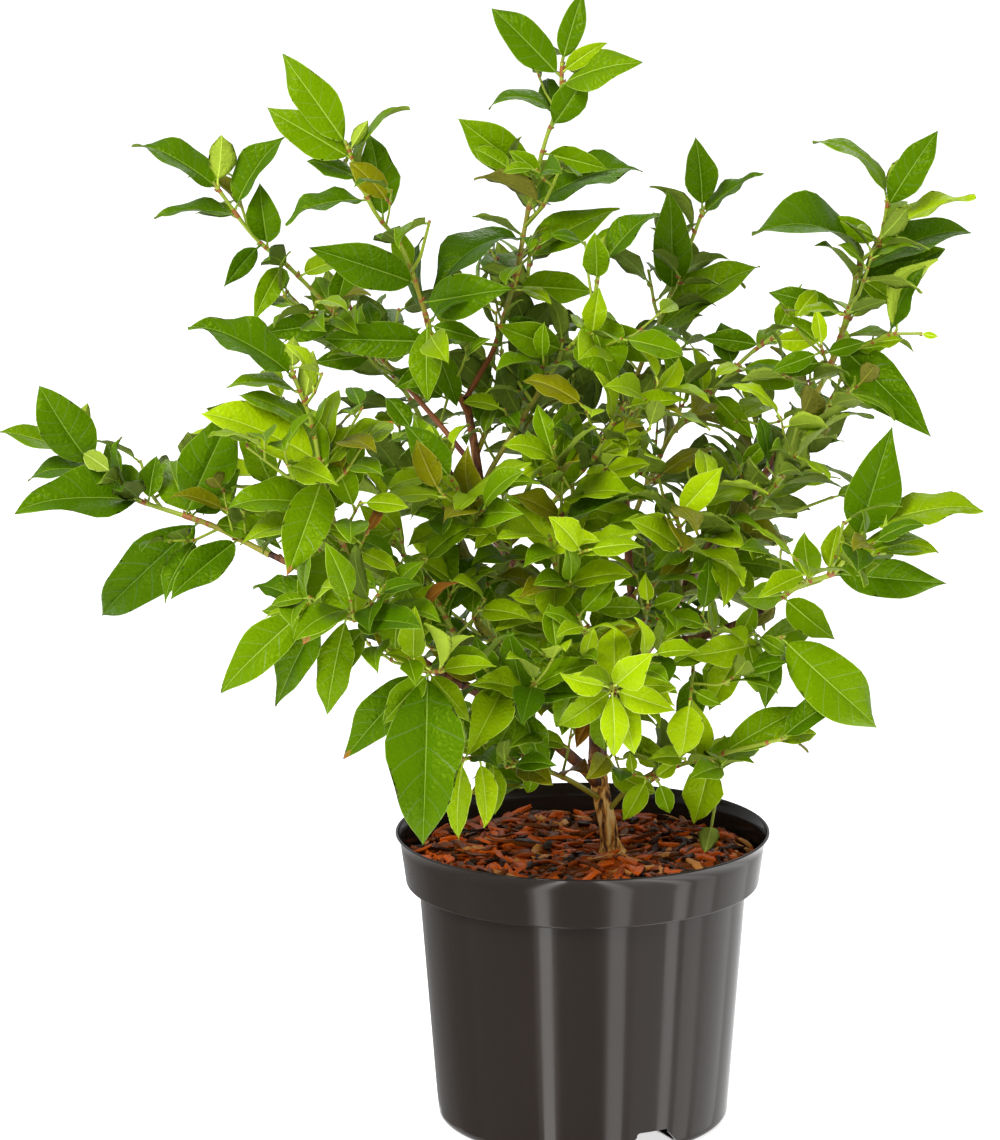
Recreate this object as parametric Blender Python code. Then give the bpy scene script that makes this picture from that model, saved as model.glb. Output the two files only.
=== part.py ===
"""A blueberry bush in its nursery pot: pot, bark-topped compost, trunk, boughs and leafy shoots.

All sizes are in millimetres until a mesh is made. The origin is the middle of the pot's
underside, +Z is up and the front of the plant faces -Y.
"""
import math
import random

import bmesh
import bpy
from mathutils import Quaternion, Vector
from mathutils.bvhtree import BVHTree

MM = 0.001
UP = Vector((0, 0, 1))
FRONT = Vector((0, -1, 0))
CROWN_AXIS = Vector((-15, 0, 300))
GOLDEN = math.radians(137.5)

# clearances
GAP = 0.3                 # between two solids that meet
LEAF_GAP = 0.5            # between the blades of two leaves, and between a blade and a limb
OWN_SPACE = 25            # how much nearer to another stem a leaf's tip may be than to its own

# pot: radii and heights of the turned profile
POT_STEPS = 30
RIM_R, RIM_TOP = 95.0, 150.0
BEAD_H, BEAD_OUT = 3.2, 2.6
LIP_TOP_R, LIP_LOW_R, LIP_LOW_Z = 92.4, 89.8, 124.0
BODY_TOP_R = 83.2
FOOT_R, FOOT_ROUND = 74.3, 4.0
WALL = 2.0
FLOOR_TOP = 2.8
CHANNEL_IN, CHANNEL_OUT, CHANNEL_UP = 54.0, 64.0, 1.2
NOTCHES = 3
NOTCH_ANGLE = math.radians(28.3)
NOTCH_LOW_W, NOTCH_TOP_W, NOTCH_H = 22.0, 12.0, 11.0

# compost and its bark top
SOIL_TOP = 137.0
SOIL_EDGE_DROP = 2.0
SOIL_RINGS, SOIL_STEPS = 4, POT_STEPS
SOIL_BUMP = 1.5
FOOT_AT = Vector((15, 0, SOIL_TOP))
FOOT_PAD = 13.0

# limbs: name, what carries it, root and tip radius, and the points of its middle line
LIMB_SIDES = 6
TRUNK_FLARE, FLARE_H = 2.6, 9.0
LIMBS = (
    ("trunk", None, 5.3, 4.5, (
        (15, 0, 137.3), (14, 0, 144), (12, 0, 157), (9, 2, 172), (7, 4, 186))),
    ("bough_centre", "trunk", 4.3, 2.1, (
        (7, 4, 185.6), (7, 8, 203), (5, 11, 224), (-1, 12, 246), (-10, 8, 265), (-24, 0, 282),
        (-40, -6, 299), (-49, -8, 321), (-54, -4, 351), (-58, 0, 372))),
    ("bough_right", "bough_centre", 3.8, 2.1, (
        (7, 8, 201), (17, 14, 214), (29, 22, 233), (42, 28, 252), (63, 34, 286), (88, 36, 319),
        (111, 34, 355))),
    ("bough_left_front", "trunk", 3.4, 2.1, (
        (9, 2, 172), (-2, -10, 187), (-21, -30, 208), (-50, -62, 235), (-80, -90, 260),
        (-103, -104, 291))),
    ("bough_left_arm", "bough_left_front", 2.4, 1.7, (
        (-92, -98, 277), (-108, -90, 288), (-126, -82, 297), (-151, -73, 307))),
    ("bough_right_arm", "bough_right", 2.5, 1.7, (
        (34, 24, 241), (46, 8, 246), (60, -5, 251), (78, -22, 262), (90, -32, 271))),
    ("bough_back_right", "bough_right", 2.7, 1.8, (
        (27, 20, 229), (27, 38, 248), (24, 60, 277), (22, 84, 332))),
    ("bough_back_left", "bough_centre", 2.7, 1.8, (
        (3, 12, 236), (-12, 28, 254), (-34, 50, 276), (-60, 76, 305), (-80, 92, 338))),
    ("bough_back", "trunk", 3.0, 1.9, (
        (11, 1, 164), (10, 18, 182), (11, 46, 204), (8, 82, 236), (0, 112, 272))),
)

# leaves: blade proportions
LEAF_WIDE = 0.49          # width over length
PETIOLE_R = 0.5
SOLID_FOLD = 0.08         # how far the margins rise over the midrib, for each millimetre across
LEAF_THICK = 0.019        # thickness over length
LEAF_THICK_MIN = 0.8
NODE_STEP = 12.0          # along a twig from leaf to leaf
ROOT_STEP = 2.4           # least distance between two leaves of a sprig
BUD_REACH = 4.0           # how far a sprig's stem runs on past its tip
WELD = 1e-7               # metres: shorter edges than this are closed up after fusing
STEM_SIDES, TWIG_SIDES = 3, 3
STEM_R, STEM_TIP_R = 1.7, 1.05
TWIG_R, TWIG_TIP_R = 1.15, 0.85

# Shoots. The sprig says which leaves stand where, read like a clock face from the front:
# distance from the tip, hour : length as seen / width as seen, then letters: f towards the front,
# b away, u underside seen, c well arched, d dark, y young, r reddish.
# twigs and fill count what the seeded rule adds, and size is the length of its leaves.
SHOOTS = (
    dict(name="foliage_leader", on="bough_centre", seed=11, twigs=1, fill=3, size=46,
         stem=((-58, 0, 371), (-50, 7, 384), (-43, 12, 397), (-33, 18, 431), (-26, 22, 466),
               (-18, 24, 497), (-11, 24, 516), (-10, 22, 532)),
         sprig="4 10.5:49/21, 0 .6:39/14, 11 1.9:46/14, 2 1.8:29/10y, 1 3.1:16/7uy, 34 1.2:34/18, "
               "28 11.6:24/12b, 26 9.3:35/6c, 61 10.4:50/23, 46 3.5:35/14, 75 2.3:64/15, "
               "99 2.2:56/18, 90 7.9:52/16cf, 114 3.1:43/18, 130 3.9:32/15f"),
    dict(name="foliage_top_left", on="bough_centre", seed=12, twigs=1, fill=3, size=46,
         stem=((-56, -2, 362), (-62, -6, 376), (-73, -8, 400), (-79, -12, 422), (-88, -20, 449),
               (-102, -28, 470), (-112, -34, 497)),
         sprig="0 10.8:55/21, 7 10:50/20, 1 1.1:18/8uy, 43 11.8:48/21r, 17 1.2:42/6c, "
               "29 8.6:43/8, 79 9.8:54/23f, 74 11.3:24/12b, 90 2.6:47/23f, 111 9:55/20, "
               "100 6:37/18f"),
    dict(name="foliage_upper_left", on="bough_centre", seed=13, twigs=1, fill=4, size=44,
         stem=((-51, -7, 336), (-60, -2, 345), (-68, 4, 354), (-86, 16, 373), (-102, 22, 390),
               (-122, 24, 409), (-147, 22, 435), (-164, 18, 451), (-179, 12, 473)),
         sprig="2 10:50/15, 0 .3:27/16uy, 15 1.1:45/14, 19 9:43/5, 41 11.8:34/19, 52 7:31/14f, "
               "37 7.5:27/12f, 62 2.6:30/10b, 88 .5:30/14, 94 8.7:45/16, 117 8.7:33/14, "
               "120 11.4:29/13b, 123 1.4:27/12f"),
    dict(name="foliage_middle", on="bough_centre", seed=14, twigs=2, fill=6, size=50,
         stem=((-50, -8, 325), (-46, -5, 335), (-38, -2, 348), (-27, 2, 365), (-11, -2, 391),
               (3, -10, 411), (8, -18, 436)),
         sprig="0 .2:16/7uy, 3 1.5:44/10, 8 12:26/15f, 26 5.3:34/30f, 34 3.7:43/19, 50 9.8:40/18r"),
    dict(name="foliage_back_tall", on="bough_back_right", seed=15, twigs=1, fill=4, size=48,
         stem=((22, 84, 331), (24, 90, 350), (30, 94, 372), (45, 98, 406), (56, 98, 436),
               (61, 96, 450)),
         sprig="0 11.9:39/19, 3 1.8:40/8, 46 11.9:57/23, 68 1.9:65/18"),
    dict(name="foliage_right_top", on="bough_right", seed=16, twigs=1, fill=3, size=46,
         stem=((111, 34, 354), (119, 31, 370), (127, 27, 390), (134, 20, 416), (138, 16, 436),
               (147, 11, 447), (151, 8, 468)),
         sprig="4 10.3:48/6c, 6 1.1:46/18, 2 1.4:30/15uyb, 22 2.2:51/7, 25 10:29/12, "
               "40 9.7:61/15cf, 44 2.3:61/16, 47 4:27/10f, 67 9.5:42/14, 64 1.85:46/15d, "
               "70 1.75:61/15, 84 4.4:60/26f, 94 4.4:38/14u"),
    dict(name="foliage_right_twig", on="bough_back_right", seed=17, twigs=1, fill=4, size=44,
         stem=((24, 66, 292), (34, 60, 318), (47, 50, 347), (63, 46, 364), (84, 44, 386),
               (95, 42, 394)),
         sprig="0 .8:30/13, 3 3:26/12y, 8 9.3:32/12, 25 3.4:34/18, 27 11.5:26/16d, 44 4.5:30/15f, "
               "50 10.8:34/16"),
    dict(name="foliage_right_arm", on="bough_right_arm", seed=18, twigs=1, fill=4, size=50,
         stem=((90, -32, 270.5), (98, -37, 278), (110, -44, 287), (123, -50, 293), (132, -54, 307),
               (139, -56, 318)),
         sprig="14 .9:60/29, 2 12.1:29/19uy, 5 2.6:58/9, 18 3:43/9, 35 3.2:57/21, 37 .4:24/13b, "
               "48 11.8:26/16, 65 4.3:34/18, 62 9:24/16f"),
    dict(name="foliage_low_right", on="trunk", seed=19, twigs=1, fill=5, size=46,
         stem=((12, 0, 158), (24, -8, 174), (39, -18, 185), (66, -34, 197), (95, -48, 208)),
         sprig="0 1.8:37/12, 34 1.9:50/18, 40 6.4:37/22, 45 3:30/10b, 49 11.9:37/21yf, "
               "62 .6:28/15b, 70 10.8:26/14"),
    dict(name="foliage_left_arm", on="bough_left_arm", seed=20, twigs=1, fill=3, size=50,
         stem=((-151, -73, 306.5), (-165, -68, 313), (-182, -62, 320), (-212, -52, 328),
               (-226, -46, 333), (-237, -42, 343), (-246, -40, 350)),
         sprig="12 11:50/28, 2 .4:26/10uy, 5 9.6:44/7, 17 8.9:38/7, 44 9:64/21, 28 11.6:22/10b, "
               "47 .2:22/14b, 67 .8:62/29, 69 1.7:32/18b, 75 7.5:72/30, 80 3.5:38/12, "
               "97 7.8:40/19f"),
    dict(name="foliage_left_front", on="bough_left_front", seed=21, twigs=1, fill=4, size=50,
         stem=((-103, -104, 290.5), (-107, -108, 303), (-113, -112, 319), (-118, -116, 334),
               (-123, -118, 358), (-127, -120, 380), (-134, -122, 400)),
         sprig="2 10:56/17, 0 12:18/10uy, 16 .4:26/11uy, 28 9.9:38/8, 45 9.8:60/20, 47 .4:35/12b, "
               "48 1.7:42/10r, 50 6.6:45/26rf, 68 9.2:50/14, 72 .8:40/16b, 88 6.7:46/31rf"),
    dict(name="foliage_front_low", on="bough_left_front", seed=22, twigs=1, fill=2, size=48,
         stem=((-70, -81, 252), (-74, -98, 256), (-76, -116, 259), (-68, -130, 262)),
         sprig="0 11.4:26/8uy, 3 .7:24/7uy, 6 9.8:26/7y, 10 7.5:36/15, 5 2.8:29/9, 14 6:78/31f, "
               "22 7.4:57/21r, 30 4.6:34/14"),
    dict(name="foliage_front", on="bough_centre", seed=23, twigs=1, fill=7, size=46,
         stem=((6, 9, 212), (10, -12, 222), (14, -45, 232), (16, -80, 240), (14, -104, 248)),
         sprig="0 9.4:26/14y, 3 1.4:28/18yf, 6 5.9:34/15y, 12 3.6:32/15y, 15 7.8:34/16, "
               "22 12:30/20b"),
    dict(name="foliage_low_front", on="trunk", seed=24, twigs=1, fill=7, size=46,
         stem=((10, 1, 165), (-8, -22, 182), (-28, -44, 195), (-46, -66, 204), (-56, -84, 208)),
         sprig="0 6.2:42/15y, 6 8.2:30/14, 16 5.8:36/13, 28 5.9:28/13, 12 10.6:34/16, 62 6.6:14/9r"),
    dict(name="foliage_low_left", on="bough_left_front", seed=25, twigs=1, fill=5, size=52,
         stem=((-88, -95, 270.5), (-97, -106, 278), (-109, -114, 285), (-126, -119, 290)),
         sprig="0 7.6:60/22, 7 6.9:54/20, 13 9:38/15, 19 6.4:50/19, 24 12:32/16, 32 7.3:42/18"),
    dict(name="foliage_low_centre", on="bough_left_front", seed=26, twigs=2, fill=8, size=52,
         stem=((-32, -41, 217), (-30, -62, 230), (-26, -88, 242), (-22, -108, 252)),
         sprig=""),
    dict(name="foliage_right_low", on="bough_right_arm", seed=27, twigs=0, fill=4, size=50,
         stem=((56, -2, 249.5), (70, -22, 250), (83, -38, 254), (95, -50, 260)),
         sprig="0 4.4:66/33, 5 6.2:36/16, 12 8.6:40/18, 20 2.6:34/15b, 26 7:38/17"),
    dict(name="foliage_inner_left", on="bough_centre", seed=31, twigs=2, fill=9, size=56,
         stem=((-30, -2, 289), (-42, -24, 304), (-54, -50, 322), (-64, -74, 346)),
         sprig=""),
    dict(name="foliage_centre", on="bough_centre", seed=32, twigs=3, fill=9, size=56,
         stem=((4, 11.5, 228), (-6, -16, 258), (-12, -46, 288), (-16, -76, 318)),
         sprig=""),
    dict(name="foliage_left_centre", on="bough_left_front", seed=46, twigs=2, fill=9, size=54,
         stem=((-60, -71, 243.5), (-62, -60, 264), (-76, -54, 290), (-98, -54, 316)),
         sprig=""),
    dict(name="foliage_crown_centre", on="bough_centre", seed=44, twigs=2, fill=8, size=54,
         stem=((-38, -5, 296.5), (-18, -18, 318), (6, -28, 346), (22, -34, 376)),
         sprig=""),
    dict(name="foliage_right_centre", on="bough_right", seed=33, twigs=3, fill=9, size=56,
         stem=((48, 30, 262), (50, 4, 282), (50, -24, 304), (44, -52, 328)),
         sprig=""),
    dict(name="foliage_right_front", on="bough_right", seed=34, twigs=2, fill=8, size=52,
         stem=((70, 35, 295), (84, 12, 312), (97, -12, 330), (106, -32, 350)),
         sprig=""),
    dict(name="foliage_crown_back", on="bough_centre", seed=35, twigs=2, fill=8, size=54,
         stem=((-52, -6, 345), (-44, 16, 362), (-34, 48, 386), (-28, 72, 418), (-26, 84, 446)),
         sprig=""),
    dict(name="foliage_back_left", on="bough_back_left", seed=36, twigs=2, fill=7, size=56,
         stem=((-80, 92, 337.5), (-88, 102, 352), (-102, 116, 370), (-118, 124, 390)),
         sprig=""),
    dict(name="foliage_back_left_low", on="bough_back_left", seed=37, twigs=2, fill=7, size=56,
         stem=((-50, 66, 294), (-76, 74, 300), (-112, 84, 310), (-150, 84, 328)),
         sprig=""),
    dict(name="foliage_left_back", on="bough_left_arm", seed=38, twigs=2, fill=7, size=54,
         stem=((-120, -85, 294), (-132, -64, 308), (-150, -34, 330), (-164, -4, 356)),
         sprig=""),
    dict(name="foliage_back", on="bough_back", seed=39, twigs=2, fill=7, size=56,
         stem=((0, 112, 271.5), (-4, 128, 292), (-8, 148, 326), (-4, 158, 362)),
         sprig=""),
    dict(name="foliage_back_low", on="bough_back", seed=40, twigs=2, fill=6, size=52,
         stem=((9, 66, 224), (26, 92, 228), (52, 126, 236), (74, 152, 250)),
         sprig=""),
    dict(name="foliage_back_low_left", on="bough_back", seed=41, twigs=2, fill=6, size=52,
         stem=((11, 42, 202), (-14, 64, 214), (-48, 92, 226), (-78, 118, 244)),
         sprig=""),
    dict(name="foliage_back_right", on="bough_back_right", seed=42, twigs=2, fill=7, size=56,
         stem=((26, 48, 261), (50, 66, 278), (82, 94, 300), (108, 118, 326)),
         sprig=""),
    dict(name="foliage_right_back", on="bough_right", seed=43, twigs=2, fill=7, size=54,
         stem=((80, 35.5, 309), (98, 54, 320), (114, 80, 336), (122, 104, 360)),
         sprig=""),
)

# colours: base colour, roughness
COLOURS = {
    "pot": ((0.045, 0.04, 0.036), 0.38),
    "compost": ((0.16, 0.07, 0.035), 0.95),
    "bark": ((0.33, 0.2, 0.1), 0.85),
    "leaf": ((0.1, 0.24, 0.03), 0.5),
}


def make_material(name):
    colour, roughness = COLOURS[name]
    material = bpy.data.materials.new(name)
    material.use_nodes = True
    shader = material.node_tree.nodes["Principled BSDF"]
    shader.inputs["Base Color"].default_value = (*colour, 1)
    shader.inputs["Roughness"].default_value = roughness
    shader.inputs["Metallic"].default_value = 0
    return material


def make_object(name, points, faces, material=None):
    """A mesh object from points in millimetres, linked to the scene."""
    mesh = bpy.data.meshes.new(name)
    mesh.from_pydata([Vector(p) * MM for p in points], [], faces)
    mesh.validate()
    obj = bpy.data.objects.new(name, mesh)
    bpy.context.scene.collection.objects.link(obj)
    if material:
        mesh.materials.append(material)
    return obj


def smooth_sharp(obj, angle=40):
    obj.data.shade_smooth()
    obj.data.set_sharp_from_angle(angle=math.radians(angle))


def apply_boolean(obj, operation, other=None, collection=None, solver="EXACT"):
    """Applies one Boolean to the object's mesh."""
    modifier = obj.modifiers.new(operation.lower(), "BOOLEAN")
    modifier.operation = operation
    modifier.solver = solver
    if collection:
        modifier.operand_type = "COLLECTION"
        modifier.collection = collection
    else:
        modifier.object = other
    bpy.context.view_layer.update()
    graph = bpy.context.evaluated_depsgraph_get()
    result = bpy.data.meshes.new_from_object(obj.evaluated_get(graph))
    obj.modifiers.remove(modifier)
    old = obj.data
    obj.data = result
    result.name = old.name
    bpy.data.meshes.remove(old)


def remove_object(obj):
    mesh = obj.data
    bpy.data.objects.remove(obj)
    bpy.data.meshes.remove(mesh)


# paths

def lengths_along(path):
    total = [0.0]
    for a, b in zip(path, path[1:]):
        total.append(total[-1] + (b - a).length)
    return total


def smooth_path(points, steps):
    """A Catmull-Rom curve through the points, with this many steps between two of them."""
    p = [Vector(q) for q in points]
    ends = [2 * p[0] - p[1], *p, 2 * p[-1] - p[-2]]
    out = []
    for a, b, c, d in zip(ends, ends[1:], ends[2:], ends[3:]):
        for k in range(steps):
            t = k / steps
            out.append(0.5 * (2 * b + (c - a) * t + (2 * a - 5 * b + 4 * c - d) * t * t
                              + (3 * b - a - 3 * c + d) * t ** 3))
    return [*out, p[-1]]


def point_at(path, distance):
    """Place and direction at this distance along the path."""
    total = lengths_along(path)
    distance = min(max(distance, 0.0), total[-1])
    for i in range(len(path) - 1):
        if distance <= total[i + 1] or i == len(path) - 2:
            run = path[i + 1] - path[i]
            return path[i] + run * ((distance - total[i]) / run.length), run.normalized()


def across(direction, wish):
    """The wished direction made square to the given one."""
    side = wish - direction * wish.dot(direction)
    if side.length < 0.05:
        side = Vector((1, 0, 0)) - direction * direction.x
    return side.normalized()


def tube(path, radii, sides):
    """Points and faces of a closed tube along the path."""
    points, faces = [], []
    normal = across((path[1] - path[0]).normalized(), Vector((0.3, -1, 0.2)))
    for i, place in enumerate(path):
        before = (place - path[i - 1]).normalized() if i else None
        after = (path[i + 1] - place).normalized() if i + 1 < len(path) else None
        tangent = ((before or after) + (after or before)).normalized()
        normal = across(tangent, normal)
        other = tangent.cross(normal)
        for k in range(sides):
            angle = 2 * math.pi * k / sides
            points.append(place + (normal * math.cos(angle) + other * math.sin(angle)) * radii[i])
    for i in range(len(path) - 1):
        for k in range(sides):
            a, b = i * sides + k, i * sides + (k + 1) % sides
            faces.append((a, b, b + sides, a + sides))
    faces.append(tuple(reversed(range(sides))))
    faces.append(tuple(range((len(path) - 1) * sides, len(path) * sides)))
    return points, faces


def tapered(path, root, tip):
    total = lengths_along(path)
    return [root + (tip - root) * s / total[-1] for s in total]


# leaves

def arc_point(leaf, u, side=0.0, lift=0.0):
    """A point of the leaf: u from root to tip along the arched midrib, side across it, lift off it."""
    bend = leaf["arch"]
    angle = bend / 2 - bend * u
    run = leaf["length"] / bend
    along = run * (math.sin(bend / 2) - math.sin(angle))
    rise = run * (math.cos(angle) - math.cos(bend / 2))
    normal = leaf["normal"] * math.cos(angle) - leaf["dir"] * math.sin(angle)
    turn = leaf["twist"] * u
    sideways = leaf["side"] * math.cos(turn) + normal * math.sin(turn)
    normal = normal * math.cos(turn) - leaf["side"] * math.sin(turn)
    fold = SOLID_FOLD * abs(side)
    return (leaf["root"] + leaf["dir"] * along + leaf["normal"] * rise
            + sideways * side + normal * (lift + fold))


def leaf_solid(leaf):
    """A thin closed leaf: upright petiole end, one or two pairs of margin points, tip, keel below."""
    thick = max(LEAF_THICK_MIN, LEAF_THICK * leaf["length"])
    half = leaf["width"] / 2
    points = [arc_point(leaf, 0, 0, PETIOLE_R), arc_point(leaf, 0, 0, -PETIOLE_R)]
    if leaf["full"]:
        for u, share in ((0.32, 0.93), (0.67, 0.86)):
            points += [arc_point(leaf, u, -half * share), arc_point(leaf, u, half * share)]
    else:
        points += [arc_point(leaf, 0.48, -half), arc_point(leaf, 0.48, half)]
    tip = len(points)
    points += [arc_point(leaf, 1), arc_point(leaf, 0.5, 0, -thick)]
    left, right = list(range(2, tip, 2)), list(range(3, tip, 2))
    faces = [(0, left[0], right[0]), (left[-1], tip, right[-1]), (1, left[0], 0), (0, right[0], 1)]
    for i in range(len(left) - 1):
        faces += [(left[i], left[i + 1], right[i + 1]), (left[i], right[i + 1], right[i])]
    rim = (1, *right, tip, *reversed(left), 1)
    faces += [(tip + 1, a, b) for a, b in zip(rim, rim[1:])]
    return points, [face[::-1] for face in faces]


def blade_of(leaf):
    """The leaf without its petiole end, as points and triangles, to see what it would touch."""
    half = leaf["width"] / 2
    points = [
        arc_point(leaf, 0.13), arc_point(leaf, 0.3, -half), arc_point(leaf, 0.3, half),
        arc_point(leaf, 0.66, -half * 0.92), arc_point(leaf, 0.66, half * 0.92), arc_point(leaf, 1.02),
        arc_point(leaf, 0.48),
    ]
    rim = (0, 1, 3, 5, 4, 2, 0)
    return points, [(6, a, b) for a, b in zip(rim, rim[1:])]


def make_leaf(root, direction, normal, length, width, arch, fold=0.22, twist=0.0, marks="",
              full=False):
    direction = direction.normalized()
    normal = across(direction, normal)
    return dict(root=root, dir=direction, normal=normal, side=direction.cross(normal), length=length,
                width=width, arch=max(arch, 0.05), fold=fold, twist=twist, marks=marks, full=full)


class Space:
    """What is already placed: limbs, twigs and leaves, each with its owner."""

    def __init__(self):
        self.things = []

    def tree(self, shape):
        points, faces = shape
        middle = sum(points, Vector()) / len(points)
        reach = max((p - middle).length for p in points)
        return middle, reach, BVHTree.FromPolygons(points, faces, epsilon=LEAF_GAP)

    def add(self, shape, owner, kind):
        self.things.append((*self.tree(shape), owner, kind))

    def hit(self, shape, owner, own, others):
        """True if the shape touches one of its owner's own kinds, or one of the other kinds elsewhere."""
        middle, reach, tree = self.tree(shape)
        for other, far, its_tree, its_owner, its_kind in self.things:
            if its_kind not in (own if its_owner == owner else others):
                continue
            if (other - middle).length < far + reach + LEAF_GAP and tree.overlap(its_tree):
                return True
        return False


def sprig_leaves(shoot, path):
    """The shoot's own leaves, read from its sprig."""
    rng = random.Random(shoot["seed"] * 7)
    total = lengths_along(path)[-1]
    found = []
    items = [part.split() for part in shoot["sprig"].split(",") if part.strip()]
    items = sorted((float(down), pose) for down, pose in items)
    last = -ROOT_STEP
    for down, pose in items:
        down = last = max(down, last + ROOT_STEP)
        hour, size = pose.split(":")
        length, rest = size.split("/")
        marks = rest.lstrip("0123456789.")
        width = float(rest[:len(rest) - len(marks)])
        turn = math.radians(30 * float(hour))
        depth = -0.6 if "f" in marks else 0.6 if "b" in marks else rng.uniform(-0.2, 0.12)
        direction = Vector((math.sin(turn), depth, math.cos(turn))).normalized()
        seen = math.hypot(direction.x, direction.z)
        arch = (1.5 if "c" in marks else 0.5) + rng.uniform(-0.15, 0.25)
        full = float(length) / seen * (arch / 2) / math.sin(arch / 2)
        wide = max(width, LEAF_WIDE * full * rng.uniform(0.92, 1.06))
        roll = math.acos(min(1.0, width / wide))
        face = across(direction, FRONT)
        if "u" in marks:
            face = -face
        sides = [face.copy(), face.copy()]
        sides[0].rotate(Quaternion(direction, roll))
        sides[1].rotate(Quaternion(direction, -roll))
        face = max(sides, key=lambda n: n.z)
        root, _ = point_at(path, total - down - 0.6)
        found.append(make_leaf(root, direction, face, full, wide, arch, rng.uniform(0.12, 0.32),
                               rng.uniform(-0.25, 0.25), marks, full=True))
    return found


def rule_leaf(rng, place, tangent, azimuth, length, marks=""):
    """One leaf by the shoot's rule: set round the twig, turned up to the light, drooping with age."""
    round_it = across(tangent, Vector((math.cos(azimuth), math.sin(azimuth), 0.25)))
    away = across(UP, place - CROWN_AXIS)
    lean = rng.uniform(0.75, 1.25)
    direction = (tangent * math.cos(lean) + round_it * math.sin(lean) + away * 0.25
                 - UP * rng.uniform(-0.1, 0.35))
    normal = UP + away * 0.8 + Vector((rng.uniform(-0.45, 0.45), rng.uniform(-0.45, 0.45), 0))
    return make_leaf(place, direction, normal, length, length * LEAF_WIDE * rng.uniform(0.9, 1.1),
                     rng.uniform(0.3, 0.95), rng.uniform(0.1, 0.32), rng.uniform(-0.3, 0.3), marks)


def variants(leaf):
    """The leaf as wished, then tilted to the front or back, then turned about its own normal."""
    yield leaf
    nod = across(leaf["dir"], FRONT).cross(leaf["dir"])
    for steps in ((12, -12, 24, -24), (36, -36)):
        for axis in (nod, leaf["normal"]):
            for step in steps:
                turn = Quaternion(axis, math.radians(step))
                other = dict(leaf)
                for key in ("dir", "normal", "side"):
                    other[key] = turn @ leaf[key]
                yield other


def grow_twigs(shoot, path, space):
    """Side twigs by the seeded rule, each a short path that bends up to the light."""
    rng = random.Random(shoot["seed"])
    total = lengths_along(path)[-1]
    azimuth = rng.uniform(0, 2 * math.pi)
    found = []
    for k in range(shoot["twigs"]):
        azimuth += GOLDEN
        share = 0.25 + 0.55 * (k + 0.5) / shoot["twigs"]
        place, tangent = point_at(path, total * share)
        for attempt in range(5):
            away = across(UP, place - CROWN_AXIS)
            round_it = across(tangent, Vector((math.cos(azimuth), math.sin(azimuth), 0.2)))
            heading = (tangent * 0.6 + round_it + away * 0.2).normalized()
            reach = rng.uniform(0.8, 1.15) * (46 - 16 * share)
            bend = [place, place + heading * reach * 0.5, place + (heading + UP * 0.25) * reach]
            twig = smooth_path(bend, 1)
            free = [twig[0].lerp(twig[1], 0.2), *twig[1:]]
            shape = tube(free, tapered(free, TWIG_R, TWIG_TIP_R), TWIG_SIDES)
            if not space.hit(shape, shoot["name"], ("twig",), ("limb", "twig")):
                found.append(twig)
                space.add(shape, shoot["name"], "twig")
                break
            azimuth += 0.9
    return found


def grow_leaves(shoot, path, twigs, space, stems):
    """Sprig leaves first, then the rule's, each skipped where it has no room."""
    rng = random.Random(shoot["seed"] + 500)
    name = shoot["name"]
    leaves = []

    def settle(leaf, own_space):
        for other in variants(leaf):
            blade = blade_of(other)
            tip = blade[0][5]
            if own_space:
                own = min((tip - p).length for p in stems[name])
                rest = min((tip - p).length for key in stems if key != name for p in stems[key])
                if own - rest > OWN_SPACE:
                    continue
            solid = leaf_solid(other)
            if space.hit(blade, name, ("blade",), ()):
                continue
            if space.hit(solid, name, (), ("limb", "twig", "leaf")):
                continue
            space.add(blade, name, "blade")
            space.add(solid, name, "leaf")
            leaves.append(other)
            return

    for leaf in sprig_leaves(shoot, path):
        settle(leaf, False)
    azimuth = rng.uniform(0, 2 * math.pi)
    total = lengths_along(path)[-1]
    for k in range(shoot["fill"]):
        azimuth += GOLDEN
        share = (k + 0.5) / shoot["fill"]
        place, tangent = point_at(path, total * (1 - 0.75 * share))
        length = shoot["size"] * (0.72 + 0.35 * share) * rng.uniform(0.88, 1.12)
        settle(rule_leaf(rng, place, tangent, azimuth, length), True)
    for twig in twigs:
        total = lengths_along(twig)[-1]
        count = max(3, int(total / NODE_STEP))
        azimuth += 1.0
        for k in range(count):
            azimuth += GOLDEN
            place, tangent = point_at(twig, total * (1 - 0.8 * k / count) - 0.6)
            length = shoot["size"] * (0.7 + 0.35 * k / count) * rng.uniform(0.88, 1.12)
            settle(rule_leaf(rng, place, tangent, azimuth, length), True)
    return leaves


def main_body_only(obj):
    """Keeps the largest shell, as triangles, without scraps and sealed hollows. True if it is closed."""
    shape = bmesh.new()
    shape.from_mesh(obj.data)
    bmesh.ops.dissolve_degenerate(shape, edges=shape.edges, dist=WELD)
    bmesh.ops.triangulate(shape, faces=shape.faces)
    left = set(shape.faces)
    shells = []
    while left:
        first = left.pop()
        shell, edge = [first], [first]
        while edge:
            for link in edge.pop().edges:
                for face in link.link_faces:
                    if face in left:
                        left.remove(face)
                        shell.append(face)
                        edge.append(face)
        shells.append(shell)
    shells.sort(key=len)
    loose = [face for shell in shells[:-1] for face in shell]
    bmesh.ops.delete(shape, geom=loose, context="FACES")
    sound = all(edge.is_manifold and edge.is_contiguous for edge in shape.edges)
    shape.to_mesh(obj.data)
    shape.free()
    return sound


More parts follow.
